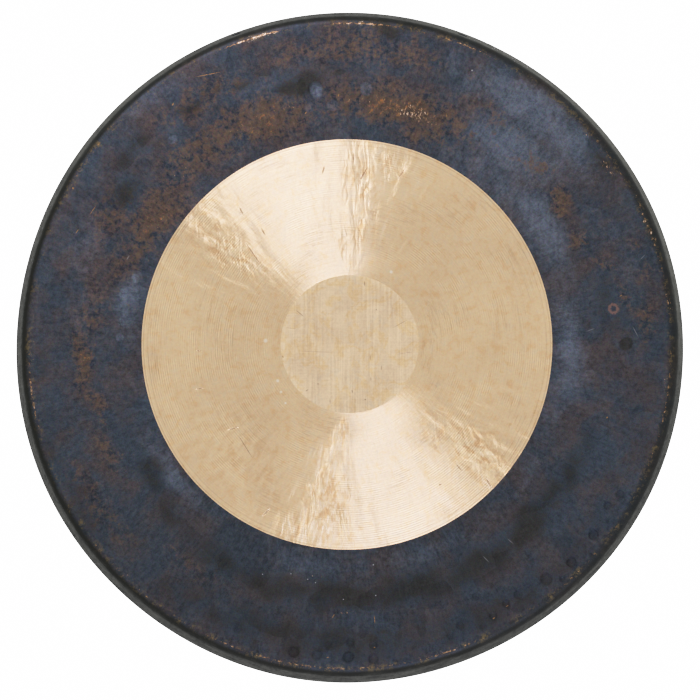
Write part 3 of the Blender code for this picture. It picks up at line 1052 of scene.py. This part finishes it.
# %% Lathed bronze
def lathed_finish(name, ring_edge, marked):
    """Bare bronze scraped on a lathe; marked says whether it has the front's hammering and strokes."""
    finish = Finish(name)
    flat = flat_place(finish, lathe_centre)
    radius, outwards = polar(finish, lathe_centre)
    lines = lathe_lines(finish, flat, radius, outwards)
    uneven = ray_noise(finish, radius, outwards, 12, 0.45 * MM, 1.0)
    sway = finish.shade(finish.noise(flat, 45.0, 2.0, 0.5, output=1), 0.9)
    rippling = finish.vectors("ADD", rays_of(finish, radius, outwards, 2.2, 0.013), sway)
    ripple = finish.noise(rippling, 1.0, 3.0, 0.6)
    away = finish.band(radius, SPOT_RADIUS, 0.115, 0.45, 1.0)
    ripple_height = finish.product(finish.math("SUBTRACT", ripple, 0.5), away)
    hair = ray_noise(finish, radius, outwards, 0.5, 0.02, 2.0)
    mottle = finish.noise(flat, 120.0, 5.0, 0.68, 0.5)
    height = finish.total((ripple_height, 0.30), (hair, 0.022), (lines, 0.010), (uneven, 0.006),
                          (mottle, 0.03))
    turned = ray_noise(finish, radius, outwards, 22, 2.6 * MM, 2.0, 0.6)
    arcs = finish.product(finish.band(finish.off(turned, 0.5), 0.05, 0.0),
                          finish.band(finish.noise(flat, 22.0, 2.0), 0.5, 0.62))
    grit = finish.noise(flat, 420.0, 3.0, 0.7)
    scraped = finish.total(finish.vary(uneven, 0.03), (lines, 0.11), (arcs, -0.13),
                           finish.vary(grit, 0.035))
    in_arms = finish.math("ABSOLUTE", towards_lamps(finish, outwards))
    broad = finish.noise(flat, 17.0, 3.0, 0.5)
    value = finish.total(1.0, (scraped, finish.band(in_arms, 0.75, 0.95, 1.0, 1.8)),
                         finish.band(radius, 0.07, 0.18, -0.018, 0.02),
                         finish.vary(broad, 0.04),
                         edge_lines(finish, finish.math("SUBTRACT", ring_edge, radius)))
    colour = finish.blend(finish.band(mottle, 0.50, 0.68, 0.0, 0.7), BARE_BRONZE, SCORCHED_BRONZE)
    colour = finish.blend(finish.band(mottle, 0.48, 0.34, 0.0, 0.8), colour, GREY_BRONZE)
    if marked:
        hollow = finish.attribute("hollow")
        beaten = beaten_height(finish, flat, radius, outwards)
        marks = any_of(finish, [stroke(finish, *mark) for mark in RING_STROKES])
        height = finish.total(height, (beaten, finish.band(hollow, 0.05, 0.6)), (marks, -0.22))
        # Inside the hollow patches: painted shade in the ripples' troughs, painted highlight on their
        # crests.
        ripple_shade = finish.product(hollow, finish.band(ripple, 0.52, 0.38), 0.9)
        raised = finish.product(hollow, finish.band(ripple, 0.56, 0.68))
        colour = finish.blend(ripple_shade, colour, PAINTED_SHADE_BRONZE)
        value = finish.total(value, (raised, 0.17))
    colour = finish.speckle(finish.shade(colour, value), flat, 620.0, 0.2)
    if marked:
        colour = finish.shade(colour, finish.total(1.0, (marks, -0.5)))
        # Painted highlights in cream.
        glints = any_of(finish, [dot(finish, *glint) for glint in RING_PAINTED_GLINTS])
        colour = finish.blend(finish.product(glints, 0.7), colour, PAINTED_GLINT_CREAM)
    finish.feed(Base_Color=colour, Metallic=1.0, Anisotropic=0.97,
                Roughness=finish.band(mottle, 0.3, 0.7, 0.36, 0.43),
                Normal=finish.relief(height), Tangent=across_grooves(finish))
    return finish


ring_finish = lathed_finish("lathed_bronze", RING_RADIUS, True)
back_ring_finish = lathed_finish("lathed_bronze_back", BACK_RING_RADIUS, False)
print("ring finish has", len(ring_finish.tree.nodes), "nodes")

# %% [markdown]
# ### The brushed spot
#
# The spot that is struck was brushed straight up and down, and a little across, so fine lines
# stand upright in it and its shine is stretched sideways. It never catches the lamp as the ring
# does. Orange veins run through it where the alloy scorched.

# %% Brushed bronze
SPOT_BRONZE = (0.835, 0.612, 0.415)
SPOT_SCORCH = (0.80, 0.54, 0.30)
SPOT_GREY = (0.765, 0.605, 0.44)
SPOT_STROKES = (
    (13, 54.5, 6, 1.4, 90), (-45, 27.5, 11, 1.0, 140), (-18, -51.5, 6, 1.2, 90),
    (13.6, -49.9, 2.2, 2.0, 0), (-38.8, -41.6, 4, 1.4, 30), (45.3, 18.4, 19, 0.7, 29),
    (23.6, 31.1, 2, 1.4, 90), (-60.4, -11.4, 3, 1.6, 120), (-28.8, -35.8, 2, 1.6, 0),
    (1.9, -42.5, 4, 1.6, 100), (28.1, -21.3, 6, 1.0, 90), (18.2, -12.3, 7, 0.9, 95),
    (18.7, -31.3, 4, 0.9, 90), (-31.6, -6.9, 38, 0.5, 178), (-52, 14, 16, 0.5, 172),
    (50, -8, 18, 0.5, 8),
)


def brushed_finish(name, marked):
    """Bare bronze brushed up and down; marked says whether it has the front's strokes."""
    finish = Finish(name)
    flat = flat_place(finish, gong_centre)
    bands = stretched_noise(finish, flat, 75, 9, 2.0)
    brush = stretched_noise(finish, flat, 520, 22, 3.0, 0.6)
    brush = finish.product(finish.math("SUBTRACT", brush, 0.5),
                           finish.band(bands, 0.38, 0.62, 0.5, 1.9))
    cross = stretched_noise(finish, flat, 30, 900, 3.0, 0.6)
    swirl = finish.noise(flat, 170.0, 4.0, 0.65, 2.5)
    broad = finish.noise(flat, 40.0, 3.0, 0.5)
    mottle = finish.noise(flat, 80.0, 6.0, 0.66, 0.8)
    veins = finish.off(finish.noise(flat, 40.0, 4.0, 0.6, 1.0), 0.5)
    height = finish.total((brush, 0.014), (cross, 0.008), (mottle, 0.03))
    colour = finish.blend(finish.band(mottle, 0.46, 0.34, 0.0, 0.6), SPOT_BRONZE, SPOT_GREY)
    scorch = finish.product(finish.band(veins, 0.08, 0.0), finish.band(mottle, 0.38, 0.55), 0.85)
    colour = finish.blend(scorch, colour, SPOT_SCORCH)
    from_middle = finish.vectors("LENGTH", flat, output=1)
    value = finish.total(0.985, finish.band(brush, -0.3, 0.3, -0.09, 0.09),
                         finish.vary(cross, 0.035),
                         finish.vary(broad, 0.065),
                         finish.vary(swirl, 0.065),
                         finish.band(from_middle, SPOT_RADIUS - 0.009, SPOT_RADIUS - 0.001, 0.0, 0.06))
    colour = finish.speckle(finish.shade(colour, value), flat, 600.0, 0.1)
    if marked:
        marks = any_of(finish, [stroke(finish, *mark) for mark in SPOT_STROKES])
        height = finish.total(height, (marks, -0.04))
        colour = finish.shade(colour, finish.total(1.0, (marks, -0.45)))
    finish.feed(Base_Color=colour, Metallic=1.0, Anisotropic=0.75, Roughness=0.42,
                Normal=finish.relief(height), Tangent=across_grooves(finish))
    return finish


spot_finish = brushed_finish("brushed_bronze", True)
back_spot_finish = brushed_finish("brushed_bronze_back", False)
print("spot finish has", len(spot_finish.tree.nodes), "nodes")

# %% [markdown]
# ### The dark skin
#
# Fire and scale leave an oxide skin that is nearly black in itself. It shines like steel, and
# its thin films tint it: slate blue on most of the field, with purple brown clouds over it.
# Round hammer marks show as faint discs. Rust brown grows in clumps where the film broke, and
# dark blue stays in the gaps between them. Soot and old oil lie near the edge.
#
# One finish covers the field, the shoulder and the outside of the rim, because their colours run
# into each other. The plain part of it, which the back wears too, comes first.

# %% Plain skin
SLATE = linear(54, 62, 70)
NAVY = linear(37, 43, 51)
PLUM = linear(70, 62, 60)
SKY = linear(87, 95, 106)
SOOT_BLACK = linear(41, 41, 37)
RUST_HAZE = linear(82, 68, 57)
RUST_ORANGE = linear(136, 92, 53)
STEEL_GLOSS = (0.55, 0.56, 0.56, 1.0)


class Skin(Finish):
    """Oxide skin: the patterns, the colour, the brightness and the height that both sides share."""

    def __init__(self, name):
        super().__init__(name)
        self.flat = flat_place(self, gong_centre)
        self.radius, self.outwards = polar(self, gong_centre)
        self.cloud = self.noise(self.flat, 24.0, 6.0, 0.66, 0.5)
        self.mid = self.noise(self.flat, 75.0, 5.0, 0.68, 0.6)
        self.fine = self.noise(self.flat, 230.0, 5.0, 0.75, 0.4)
        self.speck = self.noise(self.flat, 620.0, 3.0, 0.8)
        self.smear = ray_noise(self, self.radius, self.outwards, 0.5, 0.012, 3.0, 0.65)
        wandering = self.shade(self.noise(self.flat, 60.0, 3.0, output=1), 0.012)
        hammered = self.node("ShaderNodeTexVoronoi", {
            "Vector": self.vectors("ADD", self.flat, wandering), "Scale": 48.0}, 1)
        self.disc = self.node("ShaderNodeSeparateXYZ", {0: hammered})
        grit = self.noise(self.flat, 1100.0, 2.0, 0.7)
        soft_tone = self.total((self.cloud, 0.7), (self.mid, 0.3))
        self.film = self.blend(self.band(soft_tone, 0.40, 0.62, 0.0, 0.8), SLATE, PLUM)
        self.value = self.total(self.band(self.fine, 0.30, 0.70, 0.76, 1.24),
                                self.band(self.disc, 0.0, 1.0, -0.08, 0.08),
                                self.band(self.mid, 0.35, 0.65, -0.07, 0.07),
                                self.band(self.smear, 0.35, 0.65, -0.09, 0.09),
                                self.band(self.speck, 0.40, 0.28, 0.0, -0.5),
                                self.vary(grit, 0.10))
        self.height = self.total((self.cloud, 0.20), (self.mid, 0.10), (self.fine, 0.06),
                                 (self.speck, 0.012), (self.smear, 0.02))

    def dress(self, colour, height):
        """Give the shader its last colour and height."""
        self.feed(Base_Color=colour, Metallic=0.85, Normal=self.relief(height),
                  Roughness=self.band(self.fine, 0.3, 0.7, 0.40, 0.58), Specular_Tint=STEEL_GLOSS)


def back_skin(name):
    """The plain skin of the back, with a haze of soot and rust that has no chosen place."""
    skin = Skin(name)
    colour = skin.blend(skin.band(skin.mid, 0.46, 0.62, 0.0, 0.6), skin.film, SOOT_BLACK)
    colour = skin.blend(skin.band(skin.fine, 0.58, 0.72, 0.0, 0.5), colour, RUST_HAZE)
    skin.dress(skin.speckle(skin.shade(colour, skin.value), skin.flat, 640.0, 0.7), skin.height)
    return skin


back_field_finish = back_skin("oxide_skin_back")
print("plain skin has", len(back_field_finish.tree.nodes), "nodes")

# %% [markdown]
# The front's stains are laid over the plain skin in the order in which they came: the films of
# the fire, then rust, then soot. Round spots of blue and black are written as a place, a width
# and a height in millimetres, a slant in degrees, and a strength. Over all of them, a painted
# shade darkens the lower part of the gong.

# %% Stains of the field
BLUE_SPOTS = (
    (-30.6, 229.8, 14, 18, 10, 0.9), (14.5, 231, 13, 15, 0, 0.5), (-16, 216, 13, 13, 0, 0.35),
    (-37, 214.5, 11, 12, 0, 0.3), (-160, 185, 12, 9, 30, 0.5), (-193.5, 59, 9, 11, 0, 0.6),
    (-203, 44, 12, 16, 0, 0.6), (-206, 20, 8, 9, 0, 0.4), (-207, 6, 9, 9, 0, 0.45),
)
DARK_SPOTS = ((248.5, 0.5, 16, 13, 35, 0.75), (-44, 233, 9, 18, 0, 0.8), (-10, 246, 14, 6, 10, 0.5))
print("spots on the field:", len(BLUE_SPOTS) + len(DARK_SPOTS))


def stained_colour(skin):
    """The skin's colour with the front's films, rust, soot and spots, and painted shade towards the
    bottom.
    """
    clump = skin.noise(skin.flat, 170.0, 3.0, 0.5, 0.8)
    tone = skin.total((skin.cloud, 0.45), (skin.mid, 0.25), (skin.fine, 0.3))
    ragged = skin.total((skin.mid, 0.35), (skin.fine, 0.35), (skin.speck, 0.2), (skin.smear, 0.1), -0.5)
    burnt = skin.band(skin.total(skin.attribute("rust"), (skin.cloud, 0.8)), 0.45, 0.85)
    gaps = skin.band(skin.total((clump, 0.75), (skin.fine, 0.25)), 0.48, 0.41, 0.0, 0.62)
    near_ring = skin.band(skin.radius, RING_RADIUS + 0.030, RING_RADIUS + 0.012, 0.0, 0.22)
    pale = skin.total(skin.attribute("pale"), (ragged, 1.1), (skin.disc, 0.15), near_ring)
    rust = skin.total(skin.attribute("rust"), (ragged, 3.4), (clump, 1.2), -0.6)
    soot = skin.total(skin.attribute("soot"), (ragged, 3.0), (skin.disc, -0.12))
    colour = skin.blend(skin.product(skin.band(tone, 0.47, 0.56), burnt), skin.film, PLUM)
    colour = skin.blend(skin.product(gaps, burnt), colour, NAVY)
    colour = skin.blend(skin.band(pale, 0.25, 1.05, 0.0, 0.72), colour, SKY)
    colour = skin.blend(skin.band(rust, 0.25, 0.8, 0.0, 0.9), colour, RUST_HAZE)
    colour = skin.blend(skin.band(rust, 0.92, 1.3, 0.0, 0.9), colour, RUST_ORANGE)
    colour = skin.blend(skin.band(soot, 0.25, 0.75, 0.0, 0.85), colour, SOOT_BLACK)
    for across, up, width, tall, slant, strength in BLUE_SPOTS:
        grown = skin.band(skin.fine, 0.3, 0.6, 0.3 * strength, strength)
        spot = skin.product(stroke(skin, across, up, width, tall, slant, 0.6), grown)
        colour = skin.blend(spot, colour, SKY)
    for across, up, width, tall, slant, strength in DARK_SPOTS:
        spot = skin.product(stroke(skin, across, up, width, tall, slant, 0.7), strength)
        colour = skin.blend(spot, colour, SOOT_BLACK)
    # Painted shade: the colour leans to soot black towards the bottom of the gong.
    below = towards(skin, skin.outwards, 0.0, -1.0)
    return skin.blend(skin.band(below, 0.2, 0.9, 0.0, 0.24), colour, SOOT_BLACK)


def stained_value(skin):
    """The skin's brightness: painted shade in the peen marks and towards the bottom of the gong, more in
    pale patches.
    """
    # Painted shade in the peen marks.
    shaded_pit = skin.product(skin.attribute("pit_shade"), skin.band(skin.fine, 0.36, 0.58, 0.35, 1.15))
    # Painted shade: the brightness falls a little towards the bottom of the gong.
    below = towards(skin, skin.outwards, 0.0, -1.0)
    return skin.total(skin.value, (shaded_pit, -0.60), (skin.attribute("pale"), 0.13),
                      skin.band(below, 0.2, 0.9, 0.0, -0.05))


# %% [markdown]
# The grain map tells the shader how far it is past the crease at the face's edge. Just past it
# the shoulder is black with soot and painted shade, with less of it at the top and at the right.
# Then the rim's wall is grey and scratched, and painted light makes it brightest at the upper
# right and a little lighter at the upper left. The skin is rubbed to olive at the crease itself.
# Where it is worn right through, a broken line of gold shows.

# %% Shoulder and rim
SHOULDER_BLACK = linear(35, 36, 32)
RIM_GREY = linear(67, 67, 61)
CREASE = float(zone_ends[FIELD])
RIM_START = float(zone_ends[SHOULDER]) - CREASE
RIM_FINISH = float(zone_ends[RIM]) - CREASE
print("shoulder and rim run", round(1000 * RIM_FINISH, 1), "mm past the crease")


def past_crease(skin):
    """Distance past the crease along the section in metres, below 0 on the face."""
    grain_map = skin.node("ShaderNodeUVMap", uv_map="grain")
    return skin.math("SUBTRACT", skin.node("ShaderNodeSeparateXYZ", {0: grain_map}), CREASE)


def with_rim(skin, colour, past, blotch, grit):
    """Carry a colour over the shoulder, with its soot and painted shade, and over the rim's wall, with
    its painted light.
    """
    upper = skin.band(towards(skin, skin.outwards, 0.0, 1.0), 0.1, 0.95)
    rightwards = skin.band(towards(skin, skin.outwards, 1.0, 0.0), 0.1, 0.8)
    # Soot and painted shade on the shoulder, with less of it at the top and at the right.
    soot_and_shade = skin.band(skin.total(past, (blotch, 0.008), (rightwards, 0.003)), 0.003, 0.009)
    soot_and_shade = skin.product(soot_and_shade, skin.band(upper, 0.0, 1.0, 1.0, 0.85),
                         skin.band(rightwards, 0.0, 1.0, 1.0, 0.75))
    colour = skin.blend(soot_and_shade, colour, SHOULDER_BLACK)
    wall_lines = ray_noise(skin, past, skin.outwards, 4.0, 0.004, 4.0, 0.75)
    # The rim's own lines, blotches and grit, and painted light that brightens its upper right and upper
    # left.
    upper_left = towards(skin, skin.outwards, -0.64, 0.77)
    upper_right = towards(skin, skin.outwards, 0.77, 0.64)
    rim_tone_and_painted_light = skin.total(skin.band(wall_lines, 0.36, 0.64, 0.35, 1.5),
                           skin.band(blotch, 0.35, 0.65, -0.3, 0.3),
                           skin.vary(grit, 0.35),
                           skin.band(upper_right, 0.6, 1.0, 0.0, 1.1),
                           skin.band(upper_left, 0.8, 1.0, 0.0, 0.35))
    on_rim = skin.band(skin.total(past, (blotch, 0.008)), RIM_START - 0.003, RIM_START + 0.012)
    colour = skin.blend(on_rim, colour, skin.shade(RIM_GREY, rim_tone_and_painted_light))
    return skin.shade(colour, skin.band(past, RIM_FINISH - 0.0055, RIM_FINISH - 0.0025, 1.0, 0.3))


# %% Gold, copper and silver marks
RUBBED_OLIVE = linear(104, 90, 58)
WORN_GOLD = (0.86, 0.72, 0.58)
DULL_GOLD = linear(152, 113, 68)
COPPER = linear(128, 96, 84)
SILVER = linear(190, 190, 190)
# Knocks worn through to gold; the three at (22, -272), (129, -246) and (141, -235) are painted highlights
# on the lower right of peen marks.
GOLD_MARKS_AND_GLINTS = (
    (-127.7, 244.3, 30, 0.9, 11), (-15, -244, 5, 1.2, 60), (22, -247, 9, 1.0, 95),
    (-10.5, 225, 3, 1.4, 80), (31, 221, 3, 1, 70), (44, 208, 4, 1.2, 95),
    (70, 208, 4, 1.3, 80), (76, 206, 4, 1, 45), (87, 207, 4, 1, 95), (-40, 209, 3.5, 1.3, 60),
    (244, 44, 4, 0.9, 30), (231, -66, 3, 1.6, 45), (-250, 141, 3, 2, 100),
    (-246, 102, 6, 1.0, 55), (-232, 121, 12, 1.0, 55), (-160, 217, 4, 1.6, 60),
    (22, -272, 2.4, 1, 0), (141, -235, 3, 1.2, 30), (129, -246, 3, 1.2, 30), (-20, -281, 3, 1, 20),
)
PALE_DOTS = (
    (20.9, -198, 1.5), (-6, -229, 1.2), (-53, -206, 1.2), (-78.5, -206.5, 1.2), (23, -225.5, 1.4),
    (110.3, 247.9, 2.0), (-38, -211, 1.2), (-31, -214, 1.2),
)
SILVER_SCRATCHES = (
    (264, 79, 9, 0.8, 45), (216.5, 13, 10, 0.8, 20), (257, 11.5, 14, 1.0, 118),
    (144, -177, 9, 0.8, 140), (122, -193, 10, 0.8, 135), (-200, 78, 6, 1.2, 60),
)
COPPER_CIRCLE = (237.3, 32.0, 10.5)
print("gold marks, dots and scratches:", len(GOLD_MARKS_AND_GLINTS), len(PALE_DOTS), len(SILVER_SCRATCHES))


# %% Wear the skin through
def copper_circle(skin):
    """A ragged little circle of copper colour at the right of the field."""
    across, up, width = COPPER_CIRCLE
    from_middle = skin.total(mark_distance(skin, across, up, width, width, 0),
                             (skin.fine, 0.7), (skin.speck, 0.8), -0.75)
    return skin.band(skin.off(from_middle, 0.72), 0.34, 0.1)


def with_wear(skin, colour, past, blotch):
    """Rub and wear a colour through at the crease and at the marks, with three painted highlights on peen
    marks among them; gives the gold's share too.
    """
    from_crease = skin.off(past, 0.0004)
    rubbed = skin.band(skin.total((skin.fine, 0.5), (skin.speck, 0.3), (blotch, 0.5)), 0.66, 0.76)
    rubbed = skin.product(skin.band(from_crease, 0.0055, 0.0005), rubbed, 0.65)
    colour = skin.blend(rubbed, colour, RUBBED_OLIVE)
    beads = ray_noise(skin, past, skin.outwards, 0.6, 0.0009, 3.0, 0.65)
    worn = skin.total(skin.attribute("wear"), (beads, 2.0), (skin.fine, 1.8), -1.9)
    line = skin.product(skin.band(from_crease, 0.0010, 0.0003), skin.band(worn, 0.60, 0.85))
    wide = skin.product(skin.band(from_crease, 0.0032, 0.0008), skin.band(worn, 1.0, 1.25))
    fibres = stretched_noise(skin, skin.flat, 700, 300, 3.0, 0.7)
    flecks = skin.total(skin.attribute("flecks"), (fibres, 3.4), (skin.fine, 1.6), -2.5)
    # Knocks worn to gold, and three painted highlights on peen marks.
    knocks_and_glints = any_of(skin, [stroke(skin, *mark) for mark in GOLD_MARKS_AND_GLINTS])
    knocks_and_glints = skin.product(knocks_and_glints, skin.band(skin.speck, 0.40, 0.52, 0.1, 0.9))
    gold = any_of(skin, [line, wide, skin.band(flecks, 0.95, 1.25, 0.0, 0.9), knocks_and_glints])
    bright = any_of(skin, [skin.band(worn, 0.8, 1.25), skin.band(flecks, 1.1, 1.4, 0.0, 0.6)])
    colour = skin.blend(skin.product(copper_circle(skin), 0.65), colour, COPPER)
    colour = skin.blend(gold, colour, skin.blend(bright, DULL_GOLD, WORN_GOLD))
    dots = [dot(skin, *mark) for mark in PALE_DOTS]
    scratches = [skin.product(stroke(skin, *mark), 0.35) for mark in SILVER_SCRATCHES]
    silver = skin.product(any_of(skin, dots + scratches), 0.55)
    return skin.blend(silver, colour, SILVER), gold


# %% Front skin
def front_skin(name):
    """The front's skin, with its stains, its rim and its wear."""
    skin = Skin(name)
    past = past_crease(skin)
    blotch = skin.noise(skin.seen, 70.0, 5.0, 0.7)
    grit = skin.noise(skin.seen, 420.0, 3.0, 0.7)
    colour = skin.shade(stained_colour(skin), stained_value(skin))
    colour = skin.speckle(colour, skin.flat, 640.0, 0.8)
    colour = with_rim(skin, colour, past, blotch, grit)
    colour, gold = with_wear(skin, colour, past, blotch)
    lines = ray_noise(skin, past, skin.outwards, 9.0, 0.0010, 3.0, 0.6)
    height = skin.total(skin.height, (lines, skin.band(past, 0.0, 0.004, 0.0, 0.05)), (gold, -0.05),
                        (grit, skin.band(past, 0.0, 0.004, 0.0, 0.03)))
    skin.dress(colour, height)
    return skin


field_finish = front_skin("oxide_skin")
print("front skin has", len(field_finish.tree.nodes), "nodes")

# %% Put the finishes on their zones
ZONE_FINISH = (spot_finish, ring_finish, field_finish, field_finish, field_finish,
               back_field_finish, back_field_finish, back_ring_finish, back_spot_finish)
slots = list(dict.fromkeys(ZONE_FINISH))
for finish in slots:
    mesh.materials.append(finish.material)
slot_of_zone = np.array([slots.index(finish) for finish in ZONE_FINISH])
mesh.polygons.foreach_set("material_index", slot_of_zone[face_zone])
print("finishes:", [finish.material.name for finish in slots])

# %% [markdown]
# ## Holes for the cord
#
# The gong hangs from a cord through two holes in the top of its rim. The photograph doesn't show
# them, because the rim hides them from the front. They stand where the CAD model has them, square
# to the rim's slanting wall. A drill is a cylinder, and a Boolean modifier cuts with it.

# %% Drill the cord holes
HOLE_DIAMETER = 0.009
HOLE_ANGLE_FROM_TOP = math.radians(20)
HOLE_SETBACK = 0.016
DRILL_REACH = 0.005
HOLE_SIDES = 48


def hole_centre(side):
    """Middle of one hole in the rim's wall; side is -1 or +1."""
    outside = OUTER_DIAMETER / 2 - HOLE_SETBACK * math.tan(RIM_FLARE)
    radius = outside - EDGE_WALL / math.cos(RIM_FLARE) / 2
    across = side * radius * math.sin(HOLE_ANGLE_FROM_TOP)
    up = radius * math.cos(HOLE_ANGLE_FROM_TOP)
    swell = 1 + rim_swell(math.atan2(up, across)) / radius
    return Vector((across * swell, RIM_DEPTH - HOLE_SETBACK, up * swell)) + gong_centre


for side in (-1, 1):
    bpy.ops.mesh.primitive_cylinder_add(
        vertices=HOLE_SIDES, radius=HOLE_DIAMETER / 2, depth=EDGE_WALL + 2 * DRILL_REACH,
        location=hole_centre(side), rotation=(RIM_FLARE, side * HOLE_ANGLE_FROM_TOP, 0))
    drill = bpy.context.object
    drill.data.materials.append(field_finish.material)
    hole = gong.modifiers.new("hole", "BOOLEAN")
    hole.operation = "DIFFERENCE"
    hole.solver = "EXACT"
    hole.material_mode = "TRANSFER"
    hole.object = drill
    apply_modifier(gong, "hole")
    bpy.data.objects.remove(drill)
    print("drilled at", [round(1000 * value, 1) for value in hole_centre(side)], "mm")

# %% [markdown]
# The walls of the two holes are new, so the baking map doesn't know them yet. Each wall is
# unrolled into a small strip in a corner that the two discs leave free.

# %% Room on the baking map for the holes' walls
STRIP_LEFT = 0.76
STRIP_WIDTH = 0.20
STRIP_HEIGHT = 0.03
STRIP_STEP = 0.05
ON_THE_WALL = 0.00002

mesh = gong.data
corner_at = values_of(mesh.vertices, "co", 3)[values_of(mesh.loops, "vertex_index", 1, int)]
face_start = values_of(mesh.polygons, "loop_start", 1, int)
face_size = values_of(mesh.polygons, "loop_total", 1, int)
corner_face = np.repeat(np.arange(len(mesh.polygons)), face_size)
bake_uv = values_of(mesh.uv_layers["OFBake"].data, "uv", 2)
for side in (-1, 1):
    turn_back = Euler((RIM_FLARE, side * HOLE_ANGLE_FROM_TOP, 0)).to_matrix().inverted()
    local = (corner_at - np.array(hole_centre(side))) @ np.array(turn_back).T
    wall_corner = np.abs(np.hypot(local[:, 0], local[:, 1]) - HOLE_DIAMETER / 2) < ON_THE_WALL
    wall_corner &= np.abs(local[:, 2]) < DRILL_REACH
    on_wall = (face_mean(wall_corner) == 1.0)[corner_face]
    around = np.arctan2(local[:, 1], local[:, 0])
    middle_of_face = np.arctan2(face_mean(np.sin(around)), face_mean(np.cos(around)))[corner_face]
    around -= math.tau * np.round((around - middle_of_face) / math.tau)
    across_strip = STRIP_LEFT + STRIP_WIDTH * (around / math.tau + 0.5)
    up_strip = STRIP_STEP * (2 + side) + STRIP_HEIGHT * (local[:, 2] / EDGE_WALL + 0.5)
    bake_uv = np.where(on_wall[:, None], np.column_stack([across_strip, up_strip]), bake_uv)
    print("hole wall has", int(on_wall.sum()), "corners")
mesh.uv_layers["OFBake"].data.foreach_set("uv", bake_uv.ravel())

# %% [markdown]
# ## Finish and hand over
#
# Faces that meet at less than 30 degrees are shaded as one smooth surface, which leaves only the
# edges of the holes and of the ground rim sharp. The plate then takes the place of its plain CAD
# solid.

# %% Shade smooth
SHARP_ANGLE = math.radians(30)

make_active(gong)
bpy.ops.object.shade_smooth_by_angle(angle=SHARP_ANGLE)
mesh.calc_loop_triangles()
print("triangles:", len(mesh.loop_triangles))

# %% Hand over the piece
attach(gong, "root")
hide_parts("gong_disc")
